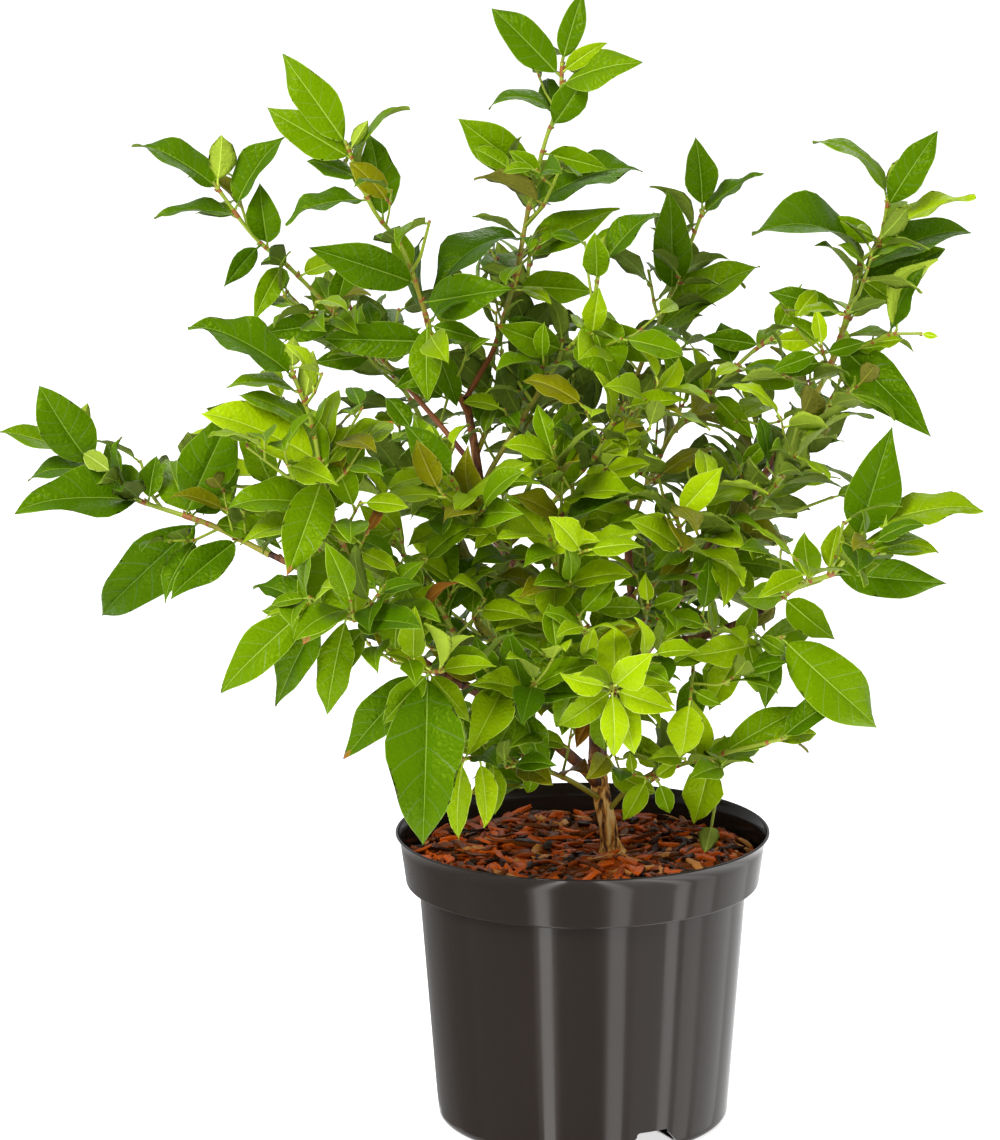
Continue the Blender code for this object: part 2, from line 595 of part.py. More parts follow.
def fuse_shoot(name, path, radii, shapes, carrier, material, solver):
    """A stem cut clear of its limb, with the shapes fused on. Also True if it came out closed."""
    stem = make_object(name, *tube(path, radii, STEM_SIDES), material)
    cutter = make_object("cutter", *carrier)
    apply_boolean(stem, "DIFFERENCE", other=cutter)
    remove_object(cutter)
    group = bpy.data.collections.new(name + "_pieces")
    bpy.context.scene.collection.children.link(group)
    for points, faces in shapes:
        piece = make_object("piece", points, faces)
        bpy.context.scene.collection.objects.unlink(piece)
        group.objects.link(piece)
    apply_boolean(stem, "UNION", collection=group, solver=solver)
    for piece in list(group.objects):
        remove_object(piece)
    bpy.data.collections.remove(group)
    stem.data.materials.clear()
    stem.data.materials.append(material)
    return stem, main_body_only(stem)


def build_shoot(shoot, path, radii, twigs, leaves, carrier, material):
    """One foliage mass. Where fusing leaves it open, the other solver is tried, and then fewer leaves."""
    base = [tube(twig, tapered(twig, TWIG_R, TWIG_TIP_R), TWIG_SIDES) for twig in twigs]
    kept = list(leaves)
    while True:
        shapes = base + [leaf_solid(leaf) for leaf in kept]
        for solver in ("EXACT", "MANIFOLD"):
            stem, sound = fuse_shoot(shoot["name"], path, radii, shapes, carrier, material, solver)
            if sound or not kept:
                return solver, len(kept)
            remove_object(stem)
        kept.pop()


def limb_shape(path, radii, grow=0.0, longer=0.0):
    """A limb's tube, or the wider one that keeps its neighbours clear of it."""
    wide = [r + grow / math.cos(math.pi / LIMB_SIDES) for r in radii]
    if longer:
        path = [*path, path[-1] + (path[-1] - path[-2]).normalized() * longer]
        wide = [*wide, wide[-1]]
    return tube(path, wide, LIMB_SIDES)


def build_limbs(material, space):
    """Trunk and boughs. Each bough is cut clear of the limb that it leaves."""
    limbs = {}
    for name, on, root, tip, points in LIMBS:
        path = smooth_path(points, 2)
        radii = tapered(path, root, tip)
        if name == "trunk":
            radii = [r + TRUNK_FLARE * max(0.0, 1 - (p.z - SOIL_TOP) / FLARE_H) ** 1.6
                     for r, p in zip(radii, path)]
            level = path[0].z
            points, faces = limb_shape(path, radii)
            for point in points[:LIMB_SIDES]:
                point.z = level
        else:
            points, faces = limb_shape(path, radii)
        obj = make_object(name, points, faces, material)
        if on:
            cutter = make_object("cutter", *limb_shape(*limbs[on], GAP + 0.02, GAP))
            apply_boolean(obj, "DIFFERENCE", other=cutter)
            remove_object(cutter)
        smooth_sharp(obj, 50)
        limbs[name] = (path, radii)
        space.add(limb_shape(path, radii), name, "limb")
    return limbs


def turned(name, profile, steps, material):
    """A solid turned from a profile of (radius, height) that begins and ends on the axis."""
    shape = bmesh.new()
    verts = [shape.verts.new((r * MM, 0, z * MM)) for r, z in profile]
    edges = [shape.edges.new(pair) for pair in zip(verts, verts[1:])]
    bmesh.ops.spin(shape, geom=[*verts, *edges], cent=(0, 0, 0), axis=(0, 0, 1),
                   angle=2 * math.pi, steps=steps, use_merge=True, use_duplicate=False)
    bmesh.ops.remove_doubles(shape, verts=shape.verts, dist=1e-6)
    bmesh.ops.recalc_face_normals(shape, faces=shape.faces)
    mesh = bpy.data.meshes.new(name)
    shape.to_mesh(mesh)
    shape.free()
    mesh.materials.append(material)
    obj = bpy.data.objects.new(name, mesh)
    bpy.context.scene.collection.objects.link(obj)
    return obj


def inner_radius(z):
    """Radius of the pot's inside above its floor."""
    slope = (BODY_TOP_R - FOOT_R) / (LIP_LOW_Z - 1.5 - FOOT_ROUND)
    if z <= LIP_LOW_Z - 2:
        return FOOT_R - WALL + slope * (z - FOOT_ROUND)
    lip = (LIP_TOP_R - LIP_LOW_R) / (RIM_TOP - BEAD_H - LIP_LOW_Z)
    return LIP_LOW_R - WALL + lip * (z - LIP_LOW_Z)


def build_pot(material):
    """Thin-walled round pot: rounded foot, straight taper, stepped lip and a bead along the rim."""
    low, top = LIP_LOW_Z, RIM_TOP
    profile = [
        (0, 0), (CHANNEL_IN - 2, 0), (CHANNEL_IN, CHANNEL_UP), (CHANNEL_OUT, CHANNEL_UP),
        (CHANNEL_OUT + 2, 0), (FOOT_R - FOOT_ROUND * 0.8, 0),
        (FOOT_R - FOOT_ROUND * 0.28, FOOT_ROUND * 0.3), (FOOT_R, FOOT_ROUND),
        (BODY_TOP_R, low - 1.5), (LIP_LOW_R - 1, low - 0.4), (LIP_LOW_R, low + 0.8),
        (LIP_TOP_R, top - BEAD_H - 0.6), (RIM_R - 0.5, top - BEAD_H + 0.4), (RIM_R, top - BEAD_H / 2),
        (RIM_R - 0.7, top - 0.3), (RIM_R - BEAD_OUT, top), (inner_radius(top - 1), top - 1.2),
        (inner_radius(low + 2), low + 1.5), (inner_radius(low - 3), low - 3),
        (inner_radius(FLOOR_TOP + 4), FLOOR_TOP + 4), (inner_radius(FLOOR_TOP + 4) - 3, FLOOR_TOP),
        (0, FLOOR_TOP),
    ]
    pot = turned("pot", profile, POT_STEPS, material)
    for k in range(NOTCHES):
        angle = NOTCH_ANGLE + 2 * math.pi * k / NOTCHES
        out = Vector((math.sin(angle), -math.cos(angle), 0))
        side = Vector((math.cos(angle), math.sin(angle), 0))
        low, high = NOTCH_LOW_W / 2, NOTCH_TOP_W / 2
        corners = ((-low, -2), (low, -2), (high, NOTCH_H), (-high, NOTCH_H))
        points = [out * deep + side * x + UP * z
                  for deep in (FOOT_R - 5.5, FOOT_R + 6) for x, z in corners]
        faces = [(3, 2, 1, 0), (4, 5, 6, 7), (0, 1, 5, 4), (1, 2, 6, 5), (2, 3, 7, 6), (3, 0, 4, 7)]
        cutter = make_object("notch", points, faces)
        shape = bmesh.new()
        shape.from_mesh(cutter.data)
        bmesh.ops.recalc_face_normals(shape, faces=shape.faces)
        shape.to_mesh(cutter.data)
        shape.free()
        apply_boolean(pot, "DIFFERENCE", other=cutter)
        remove_object(cutter)
    pot.data.materials.clear()
    pot.data.materials.append(material)
    smooth_sharp(pot, 35)
    return pot


def soil_height(rng, place, share):
    """Top of the bark at this place, flat where the trunk stands."""
    if (Vector((place.x, place.y, 0)) - Vector((FOOT_AT.x, FOOT_AT.y, 0))).length < FOOT_PAD:
        return SOIL_TOP
    return SOIL_TOP - 0.2 - SOIL_EDGE_DROP * share ** 2 - rng.uniform(0, SOIL_BUMP)


def build_compost(material):
    """Compost that fills the pot, with the uneven top of the bark mulch."""
    rng = random.Random(5)
    levels = [FLOOR_TOP + 0.4, FLOOR_TOP + 4.2, LIP_LOW_Z - 3, LIP_LOW_Z + 2.2]
    radii = [inner_radius(FLOOR_TOP + 4) - 3.6, inner_radius(levels[1]) - 0.5,
             inner_radius(LIP_LOW_Z - 3) - 0.5, inner_radius(LIP_LOW_Z + 2) - 0.5]
    top_r = inner_radius(SOIL_TOP - 3) - 0.6
    points, faces = [], []
    for r, z in zip(radii, levels):
        for k in range(SOIL_STEPS):
            angle = 2 * math.pi * k / SOIL_STEPS
            points.append(Vector((r * math.cos(angle), r * math.sin(angle), z)))
    for ring in range(SOIL_RINGS):
        share = 1 - ring / SOIL_RINGS
        for k in range(SOIL_STEPS):
            angle = 2 * math.pi * k / SOIL_STEPS
            place = Vector((top_r * share * math.cos(angle), top_r * share * math.sin(angle), 0))
            points.append(place + UP * soil_height(rng, place, share))
    rows = 4 + SOIL_RINGS
    for i in range(rows - 1):
        for k in range(SOIL_STEPS):
            a, b = i * SOIL_STEPS + k, i * SOIL_STEPS + (k + 1) % SOIL_STEPS
            faces.append((a, b, b + SOIL_STEPS, a + SOIL_STEPS))
    faces.append(tuple(reversed(range(SOIL_STEPS))))
    middle = len(points)
    points.append(Vector((0, 0, SOIL_TOP - 0.5)))
    last = (rows - 1) * SOIL_STEPS
    faces += [(last + k, last + (k + 1) % SOIL_STEPS, middle) for k in range(SOIL_STEPS)]
    return make_object("compost", points, faces, material)


def main():
    for obj in list(bpy.data.objects):
        bpy.data.objects.remove(obj)
    materials = {name: make_material(name) for name in COLOURS}
    space = Space()
    build_pot(materials["pot"])
    build_compost(materials["compost"])
    limbs = build_limbs(materials["bark"], space)
    stems, twigs = {}, {}
    for shoot in SHOOTS:
        path = smooth_path(shoot["stem"], 1)
        if shoot["sprig"]:
            path[-1] += (path[-1] - path[-2]).normalized() * BUD_REACH
        stems[shoot["name"]] = path
    stem_radii = {}
    for shoot in SHOOTS:
        name = shoot["name"]
        path = stems[name]
        stem_radii[name] = tapered(path, STEM_R, STEM_TIP_R)
        free = [path[0].lerp(path[1], 0.3), *path[1:]]
        space.add(tube(free, stem_radii[name], STEM_SIDES), name, "twig")
    for shoot in SHOOTS:
        twigs[shoot["name"]] = grow_twigs(shoot, stems[shoot["name"]], space)
    grown = {}
    for shoot in SHOOTS:
        name = shoot["name"]
        grown[name] = grow_leaves(shoot, stems[name], twigs[name], space, stems)
    for shoot in SHOOTS:
        name = shoot["name"]
        carrier = limb_shape(*limbs[shoot["on"]], GAP + 0.02, GAP)
        solver, kept = build_shoot(shoot, stems[name], stem_radii[name], twigs[name], grown[name], carrier,
                                   materials["leaf"])
        print(name, kept, "leaves of", len(grown[name]), len(twigs[name]), "twigs", solver)
    print("leaves", sum(map(len, grown.values())))


main()
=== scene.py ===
"""The looks of a potted blueberry bush: leaves, twigs, bark, bark mulch and pot.

Sizes are in millimetres until a mesh is made. The origin is the middle of the pot's underside,
+Z is up and the front of the plant faces -Y.
"""
import math
import random

import bpy
import numpy as np
from mathutils import Matrix, Quaternion, Vector, noise
from mathutils.bvhtree import BVHTree

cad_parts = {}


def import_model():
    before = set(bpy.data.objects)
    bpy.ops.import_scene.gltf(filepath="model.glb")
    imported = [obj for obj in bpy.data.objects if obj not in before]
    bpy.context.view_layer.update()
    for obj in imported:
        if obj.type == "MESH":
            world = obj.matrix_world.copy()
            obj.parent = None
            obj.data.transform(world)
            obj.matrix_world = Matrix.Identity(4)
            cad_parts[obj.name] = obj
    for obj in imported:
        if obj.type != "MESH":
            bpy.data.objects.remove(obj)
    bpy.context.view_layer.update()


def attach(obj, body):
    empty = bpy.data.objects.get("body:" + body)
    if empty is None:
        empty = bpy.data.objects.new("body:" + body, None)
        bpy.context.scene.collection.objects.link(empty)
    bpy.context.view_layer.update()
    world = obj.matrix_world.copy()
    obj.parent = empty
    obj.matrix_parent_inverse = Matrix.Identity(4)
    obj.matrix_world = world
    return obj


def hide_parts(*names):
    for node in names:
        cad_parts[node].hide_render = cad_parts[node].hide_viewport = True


MM = 0.001
UP = Vector((0, 0, 1))
FRONT = Vector((0, -1, 0))
CROWN_AXIS = Vector((-15, 0, 300))
GOLDEN = math.radians(137.5)   # turn from one leaf to the next

# camera, as the photo was taken
PHOTO_W, PHOTO_H = 1000, 1140
FOCAL_PX = 4070.0
SENSOR = 36.0
CAMERA_AT = (0.0, -2.0, 0.691)
PITCH, YAW, ROLL = -0.2006, 0.0206, -0.0048

# clearances of the growing rule, as in the solids
OWN_SPACE = 25
LEAF_GAP = 0.5

# pot: radii and heights of the turned profile
POT_STEPS, FLARE_STEPS = 168, 8
RIM_R, RIM_TOP = 95.0, 150.0
FLARE_TALL, EDGE_R, LIP_WALL = 7.5, 0.7, 1.4
LIP_TOP_R, LIP_LOW_R, LIP_LOW_Z = 92.2, 89.8, 124.0
BODY_TOP_R = 83.2
LIP_SHELF, LIP_ROUND = 1.5, 1.2
STEP_UNDER = 0.5          # the inside's step into the lip, below the lip's foot
FOOT_R, FOOT_ROUND = 74.3, 4.0
WALL = 2.0
FLOOR_TOP, FLOOR_ROUND, FLAT_R = 2.8, 4, 20
CHANNEL_IN, CHANNEL_OUT, CHANNEL_UP = 54.0, 64.0, 1.2
NOTCHES = 3
NOTCH_ANGLE = math.radians(28.3)
NOTCH_LOW_W, NOTCH_TOP_W, NOTCH_H, NOTCH_DEEP = 36.0, 18.0, 12.0, 38.0
NOTCH_ROUND = 1.6
SOIL_FOOT = 13.5
SOIL_TOP = 137.0

# limbs, as in the solids: name, radius at the root and at the tip, and the points of its line
LIMB_SIDES = 6
TRUNK_FLARE, FLARE_H = 2.6, 9.0
LIMBS = (
    ("trunk", 5.3, 4.5, (
        (15, 0, 137.3), (14, 0, 144), (12, 0, 157), (9, 2, 172), (7, 4, 186))),
    ("bough_centre", 4.3, 2.1, (
        (7, 4, 185.6), (7, 8, 203), (5, 11, 224), (-1, 12, 246), (-10, 8, 265), (-24, 0, 282),
        (-40, -6, 299), (-49, -8, 321), (-54, -4, 351), (-58, 0, 372))),
    ("bough_right", 3.8, 2.1, (
        (7, 8, 201), (17, 14, 214), (29, 22, 233), (42, 28, 252), (63, 34, 286), (88, 36, 319),
        (111, 34, 355))),
    ("bough_left_front", 3.4, 2.1, (
        (9, 2, 172), (-2, -10, 187), (-21, -30, 208), (-50, -62, 235), (-80, -90, 260),
        (-103, -104, 291))),
    ("bough_left_arm", 2.4, 1.7, (
        (-92, -98, 277), (-108, -90, 288), (-126, -82, 297), (-151, -73, 307))),
    ("bough_right_arm", 2.5, 1.7, (
        (34, 24, 241), (46, 8, 246), (60, -5, 251), (78, -22, 262), (90, -32, 271))),
    ("bough_back_right", 2.7, 1.8, (
        (27, 20, 229), (27, 38, 248), (24, 60, 277), (22, 84, 332))),
    ("bough_back_left", 2.7, 1.8, (
        (3, 12, 236), (-12, 28, 254), (-34, 50, 276), (-60, 76, 305), (-80, 92, 338))),
    ("bough_back", 3.0, 1.9, (
        (11, 1, 164), (10, 18, 182), (11, 46, 204), (8, 82, 236), (0, 112, 272))),
)

# leaves: blade proportions
LEAF_WIDE = 0.49          # width over length
PETIOLE_R = 0.5
SOLID_FOLD = 0.08         # how far the margins rise over the midrib, for each millimetre across
LEAF_THICK = 0.019        # thickness over length
LEAF_THICK_MIN = 0.8
NODE_STEP = 12.0          # along a twig from leaf to leaf
ROOT_STEP = 2.4           # least distance between two leaves of a sprig
BUD_REACH = 4.0           # how far a sprig's stem runs on past its tip
TUBE_START = Vector((0.3, -1, 0.2))   # which way a tube's first side looks
STEM_SIDES, TWIG_SIDES = 3, 3
STEM_R, STEM_TIP_R = 1.7, 1.05
TWIG_R, TWIG_TIP_R = 1.15, 0.85
TWIGLET_R, TWIGLET_TIP_R = 0.8, 0.6
ROOT_BACK = 0.6           # how far below its place a leaf's root sits
# places along a leaf and across it, in half widths: margins of a long and a short leaf, then all round
MARGIN_TWO, MARGIN_ONE = ((0.32, 0.93), (0.67, 0.86)), ((0.48, 1),)
BLADE_PLACES = ((0.13, 0), (0.3, -1), (0.3, 1), (0.66, -0.92), (0.66, 0.92), (1.02, 0), (0.48, 0))
# side twigs: where along the stem, how long, how often tried and turned on
TWIG_FROM, TWIG_SPAN = 0.25, 0.55
TWIG_LONG, TWIG_LESS = 46, 16
TWIG_TRIES, TRY_TURN = 5, 0.9
# how much a twig heads along its stem, away from the crown and up, and how much it bends up
TWIG_WEIGHTS, TWIGLET_WEIGHTS = (0.6, 0.2, 0, 0.25), (0.5, 0.15, 0.1, 0.22)


def shoot(name, piece, tone, seed, twig_count, fill, size, stem, sprig=""):
    return dict(name="foliage_" + name, piece=piece, tone=tone, seed=seed, twig_count=twig_count, fill=fill,
                size=size, stem=stem, sprig=sprig)


PIECES = ("top", "left", "right", "centre", "back")
# Shoots: name, the piece that draws its leaves, how light they are (partly the leaves' own colour and partly
# painted light and shade, lighter where that part of the crown is better lit), seed, how many twigs and
# leaves the seeded rule adds, length of those leaves, stem and sprig. The sprig says which leaves stand
# where, read like a clock face from the front: distance from the tip, hour : length as seen / width
# as seen, then letters: f towards the front, b away, u underside seen, c well arched, d dark,
# y young, r reddish, w broad and flat to the front.
SHOOTS = (
    shoot("leader", "top", 1.5, 11, 1, 3, 46,
          ((-58, 0, 371), (-50, 7, 384), (-43, 12, 397), (-33, 18, 431), (-26, 22, 466),
           (-18, 24, 497), (-11, 24, 516), (-10, 22, 532)),
          "4 10.5:49/21, 0 .6:39/14, 11 1.9:46/14, 2 1.8:29/10y, 1 3.1:16/7uy, 34 1.2:34/18, "
          "28 11.6:24/12b, 26 9.3:35/6c, 61 10.4:50/23, 46 3.5:35/14, 75 2.3:64/15, "
          "99 2.2:56/18, 90 7.9:52/16cf, 114 3.1:43/18, 130 3.9:32/15f"),
    shoot("top_left", "top", 1.4, 12, 1, 3, 46,
          ((-56, -2, 362), (-62, -6, 376), (-73, -8, 400), (-79, -12, 422), (-88, -20, 449),
           (-102, -28, 470), (-112, -34, 497)),
          "0 10.8:55/21, 7 10:50/20, 1 1.1:18/8uy, 43 11.8:48/21r, 17 1.2:42/6c, "
          "29 8.6:43/8, 79 9.8:54/23f, 74 11.3:24/12b, 90 2.6:47/23f, 111 9:55/20, "
          "100 6:37/18f"),
    shoot("upper_left", "top", 1.5, 13, 1, 4, 44,
          ((-51, -7, 336), (-60, -2, 345), (-68, 4, 354), (-86, 16, 373), (-102, 22, 390),
           (-122, 24, 409), (-147, 22, 435), (-164, 18, 451), (-179, 12, 473)),
          "2 10:50/15, 0 .3:27/16uy, 15 1.1:45/14, 19 9:43/5, 41 11.8:34/19, 52 7:31/14f, "
          "37 7.5:27/12f, 62 2.6:30/10b, 88 .5:30/14, 94 8.7:45/16, 117 8.7:33/14, "
          "120 11.4:29/13b, 123 1.4:27/12f"),
    shoot("middle", "top", 2.1, 14, 2, 6, 50,
          ((-50, -8, 325), (-46, -5, 335), (-38, -2, 348), (-27, 2, 365), (-11, -2, 391),
           (3, -10, 411), (8, -18, 436)),
          "0 .2:16/7uy, 3 1.5:44/10, 8 12:26/15f, 26 5.3:34/30f, 34 3.7:43/19, 50 9.8:40/18r"),
    shoot("back_tall", "top", 1.6, 15, 1, 4, 48,
          ((22, 84, 331), (24, 90, 350), (30, 94, 372), (45, 98, 406), (56, 98, 436),
           (61, 96, 450)),
          "0 11.9:39/19, 3 1.8:40/8, 46 11.9:57/23, 68 1.9:65/18"),
    shoot("right_top", "right", 2.3, 16, 1, 3, 46,
          ((111, 34, 354), (119, 31, 370), (127, 27, 390), (134, 20, 416), (138, 16, 436),
           (147, 11, 447), (151, 8, 468)),
          "4 10.3:48/6c, 6 1.1:46/18, 2 1.4:30/15uyb, 22 2.2:51/7, 25 10:29/12, "
          "40 9.7:61/15cf, 44 2.3:61/16, 47 4:27/10f, 67 9.5:42/14, 64 1.85:46/15d, "
          "70 1.75:61/15, 84 4.4:60/26f, 94 4.4:38/14u"),
    shoot("right_twig", "right", 2.1, 17, 1, 4, 44,
          ((24, 66, 292), (34, 60, 318), (47, 50, 347), (63, 46, 364), (84, 44, 386),
           (95, 42, 394)),
          "0 .8:30/13, 3 3:26/12y, 8 9.3:32/12, 25 3.4:34/18, 27 11.5:26/16d, 44 4.5:30/15f, "
          "50 10.8:34/16"),
    shoot("right_arm", "right", 2.0, 18, 1, 4, 50,
          ((90, -32, 270.5), (98, -37, 278), (110, -44, 287), (123, -50, 293), (132, -54, 307),
           (139, -56, 318)),
          "14 .9:60/29, 2 12.1:29/19uy, 5 2.6:58/9, 18 3:43/9, 35 3.2:57/21, 37 .4:24/13b, "
          "48 11.8:26/16, 65 4.3:34/18, 62 9:24/16f"),
    shoot("low_right", "right", 2.4, 19, 1, 5, 46,
          ((12, 0, 158), (24, -8, 174), (39, -18, 185), (66, -34, 197), (95, -48, 208)),
          "0 1.8:37/12, 34 1.9:50/18, 40 6.4:37/22, 45 3:30/10b, 49 11.9:37/21yf, "
          "62 .6:28/15b, 70 10.8:26/14"),
    shoot("left_arm", "left", 1.1, 20, 1, 3, 50,
          ((-151, -73, 306.5), (-165, -68, 313), (-182, -62, 320), (-212, -52, 328),
           (-226, -46, 333), (-237, -42, 343), (-246, -40, 350)),
          "12 11:50/28, 2 .4:26/10uy, 5 9.6:44/7, 17 8.9:38/7, 44 9:64/21, 28 11.6:22/10b, "
          "47 .2:22/14b, 67 .8:62/29, 69 1.7:32/18b, 75 7.5:72/30, 80 3.5:38/12, "
          "97 7.8:40/19f"),
    shoot("left_front", "left", 2.3, 21, 1, 4, 50,
          ((-103, -104, 290.5), (-107, -108, 303), (-113, -112, 319), (-118, -116, 334),
           (-123, -118, 358), (-127, -120, 380), (-134, -122, 400)),
          "2 10:56/17, 0 12:18/10uy, 16 .4:26/11uy, 28 9.9:38/8, 45 9.8:60/20, 47 .4:35/12b, "
          "48 1.7:42/10r, 50 6.6:45/26rf, 68 9.2:50/14, 72 .8:40/16b, 88 6.7:46/31rf"),
    shoot("front_low", "left", 2.1, 22, 1, 2, 48,
          ((-70, -81, 252), (-74, -98, 256), (-76, -116, 259), (-68, -130, 262)),
          "0 11.4:26/8uy, 3 .7:24/7uy, 6 9.8:26/7y, 10 7.5:36/15, 5 2.8:29/9, 14 6:78/31fw, "
          "22 7.4:57/21r, 30 4.6:34/14"),
    shoot("front", "centre", 2.8, 23, 1, 7, 46,
          ((6, 9, 212), (10, -12, 222), (14, -45, 232), (16, -80, 240), (14, -104, 248)),
          "0 9.4:26/14y, 3 1.4:28/18yf, 6 5.9:34/15y, 12 3.6:32/15y, 15 7.8:34/16, "
          "22 12:30/20b"),
    shoot("low_front", "centre", 2.2, 24, 1, 7, 46,
          ((10, 1, 165), (-8, -22, 182), (-28, -44, 195), (-46, -66, 204), (-56, -84, 208)),
          "0 6.2:42/15y, 6 8.2:30/14, 16 5.8:36/13, 28 5.9:28/13, 12 10.6:34/16, 62 6.6:14/9r"),
    shoot("low_left", "left", 1.5, 25, 1, 5, 52,
          ((-88, -95, 270.5), (-97, -106, 278), (-109, -114, 285), (-126, -119, 290)),
          "0 7.6:60/22, 7 6.9:54/20, 13 9:38/15, 19 6.4:50/19, 24 12:32/16, 32 7.3:42/18"),
    shoot("low_centre", "left", 2.2, 26, 2, 8, 52,
          ((-32, -41, 217), (-30, -62, 230), (-26, -88, 242), (-22, -108, 252))),
    shoot("right_low", "right", 2.1, 27, 0, 4, 50,
          ((56, -2, 249.5), (70, -22, 250), (83, -38, 254), (95, -50, 260)),
          "0 4.4:66/33, 5 6.2:36/16, 12 8.6:40/18, 20 2.6:34/15b, 26 7:38/17"),
    shoot("inner_left", "left", 2.7, 31, 2, 9, 56,
          ((-30, -2, 289), (-42, -24, 304), (-54, -50, 322), (-64, -74, 346))),
    shoot("centre", "centre", 3.1, 32, 3, 9, 56,
          ((4, 11.5, 228), (-6, -16, 258), (-12, -46, 288), (-16, -76, 318))),
    shoot("left_centre", "left", 2.5, 46, 2, 9, 54,
          ((-60, -71, 243.5), (-62, -60, 264), (-76, -54, 290), (-98, -54, 316))),
    shoot("crown_centre", "centre", 3.0, 44, 2, 8, 54,
          ((-38, -5, 296.5), (-18, -18, 318), (6, -28, 346), (22, -34, 376))),
    shoot("right_centre", "centre", 3.0, 33, 3, 9, 56,
          ((48, 30, 262), (50, 4, 282), (50, -24, 304), (44, -52, 328))),
    shoot("right_front", "right", 2.5, 34, 2, 8, 52,
          ((70, 35, 295), (84, 12, 312), (97, -12, 330), (106, -32, 350))),
    shoot("crown_back", "top", 1.3, 35, 2, 8, 54,
          ((-52, -6, 345), (-44, 16, 362), (-34, 48, 386), (-28, 72, 418), (-26, 84, 446))),
    shoot("back_left", "back", 1.2, 36, 2, 7, 56,
          ((-80, 92, 337.5), (-88, 102, 352), (-102, 116, 370), (-118, 124, 390))),
    shoot("back_left_low", "back", 2.1, 37, 2, 7, 56,
          ((-50, 66, 294), (-76, 74, 300), (-112, 84, 310), (-150, 84, 328))),
    shoot("left_back", "left", 2.1, 38, 2, 7, 54,
          ((-120, -85, 294), (-132, -64, 308), (-150, -34, 330), (-164, -4, 356))),
    shoot("back", "back", 1.2, 39, 2, 7, 56,
          ((0, 112, 271.5), (-4, 128, 292), (-8, 148, 326), (-4, 158, 362))),
    shoot("back_low", "back", 1.0, 40, 2, 6, 52,
          ((9, 66, 224), (26, 92, 228), (52, 126, 236), (74, 152, 250))),
    shoot("back_low_left", "back", 1.0, 41, 2, 6, 52,
          ((11, 42, 202), (-14, 64, 214), (-48, 92, 226), (-78, 118, 244))),
    shoot("back_right", "back", 1.2, 42, 2, 7, 56,
          ((26, 48, 261), (50, 66, 278), (82, 94, 300), (108, 118, 326))),
    shoot("right_back", "right", 2.1, 43, 2, 7, 54,
          ((80, 35.5, 309), (98, 54, 320), (114, 80, 336), (122, 104, 360))),
)

# fine leaves: columns are shares of the half width, counted from the midrib
NEAR_RIB, NEAR_RIM = 0.02, 0.98
COLUMNS = (-1, -NEAR_RIM, -0.62, -0.3, -NEAR_RIB, 0, NEAR_RIB, 0.3, 0.62, NEAR_RIM, 1)
UNDER_COLUMNS = (-0.62, -NEAR_RIB, NEAR_RIB, 0.62)
RIB_FACES = (0, 4, 5, 9)
BASE_ROWS, TIP_ROWS, TIP_RAISED = (0.018, 0.045, 0.082), (0.885, 0.925, 0.96, 0.984), (0.6, 0.3, 0, 0)
TOP, UNDER, VEIN, SIDE_VEIN = 0, 1, 2, 3
KINDS = 4
VEIN_FIRST, VEIN_LAST, VEIN_HALF = 0.125, 0.83, 0.004
TIP_FROM, TIP_SOFT_FROM = 0.93, 0.86
SWEEP = 0.17
OUTLINE_BASE, OUTLINE_TIP = 0.86, (1.05, 1.45)
MIDRIB, RIM = 0.36, 0.36
THICK, GROOVE, RIB_DEEP = 0.3, 0.28, 0.35
QUILT = 0.011
FOLD_MORE, YOUNG_FOLD = 1.5, 0.75
FORMS = ((25, 3), (38, 4), (999, 6))   # longest leaf, and its pairs of side veins
NARROW = 0.92
GROWN_LENGTH, DROOP_MOST, DROOP_FROM, RIPPLE = 40.0, 4.6, 0.62, 0.065
CUP, WAVE, BEATS, SKEW, TIP_TURN = (-0.6, 0.1), (0.07, 0.17), (1.2, 2.6), 0.05, 0.7
PETIOLE, PETIOLE_MOST = 3.4, 0.16
PETIOLE_LOW_R, PETIOLE_TOP_R = 0.75, 0.5
PETIOLE_RINGS, PETIOLE_SIDES, PETIOLE_SINK = 6, 6, 0.35

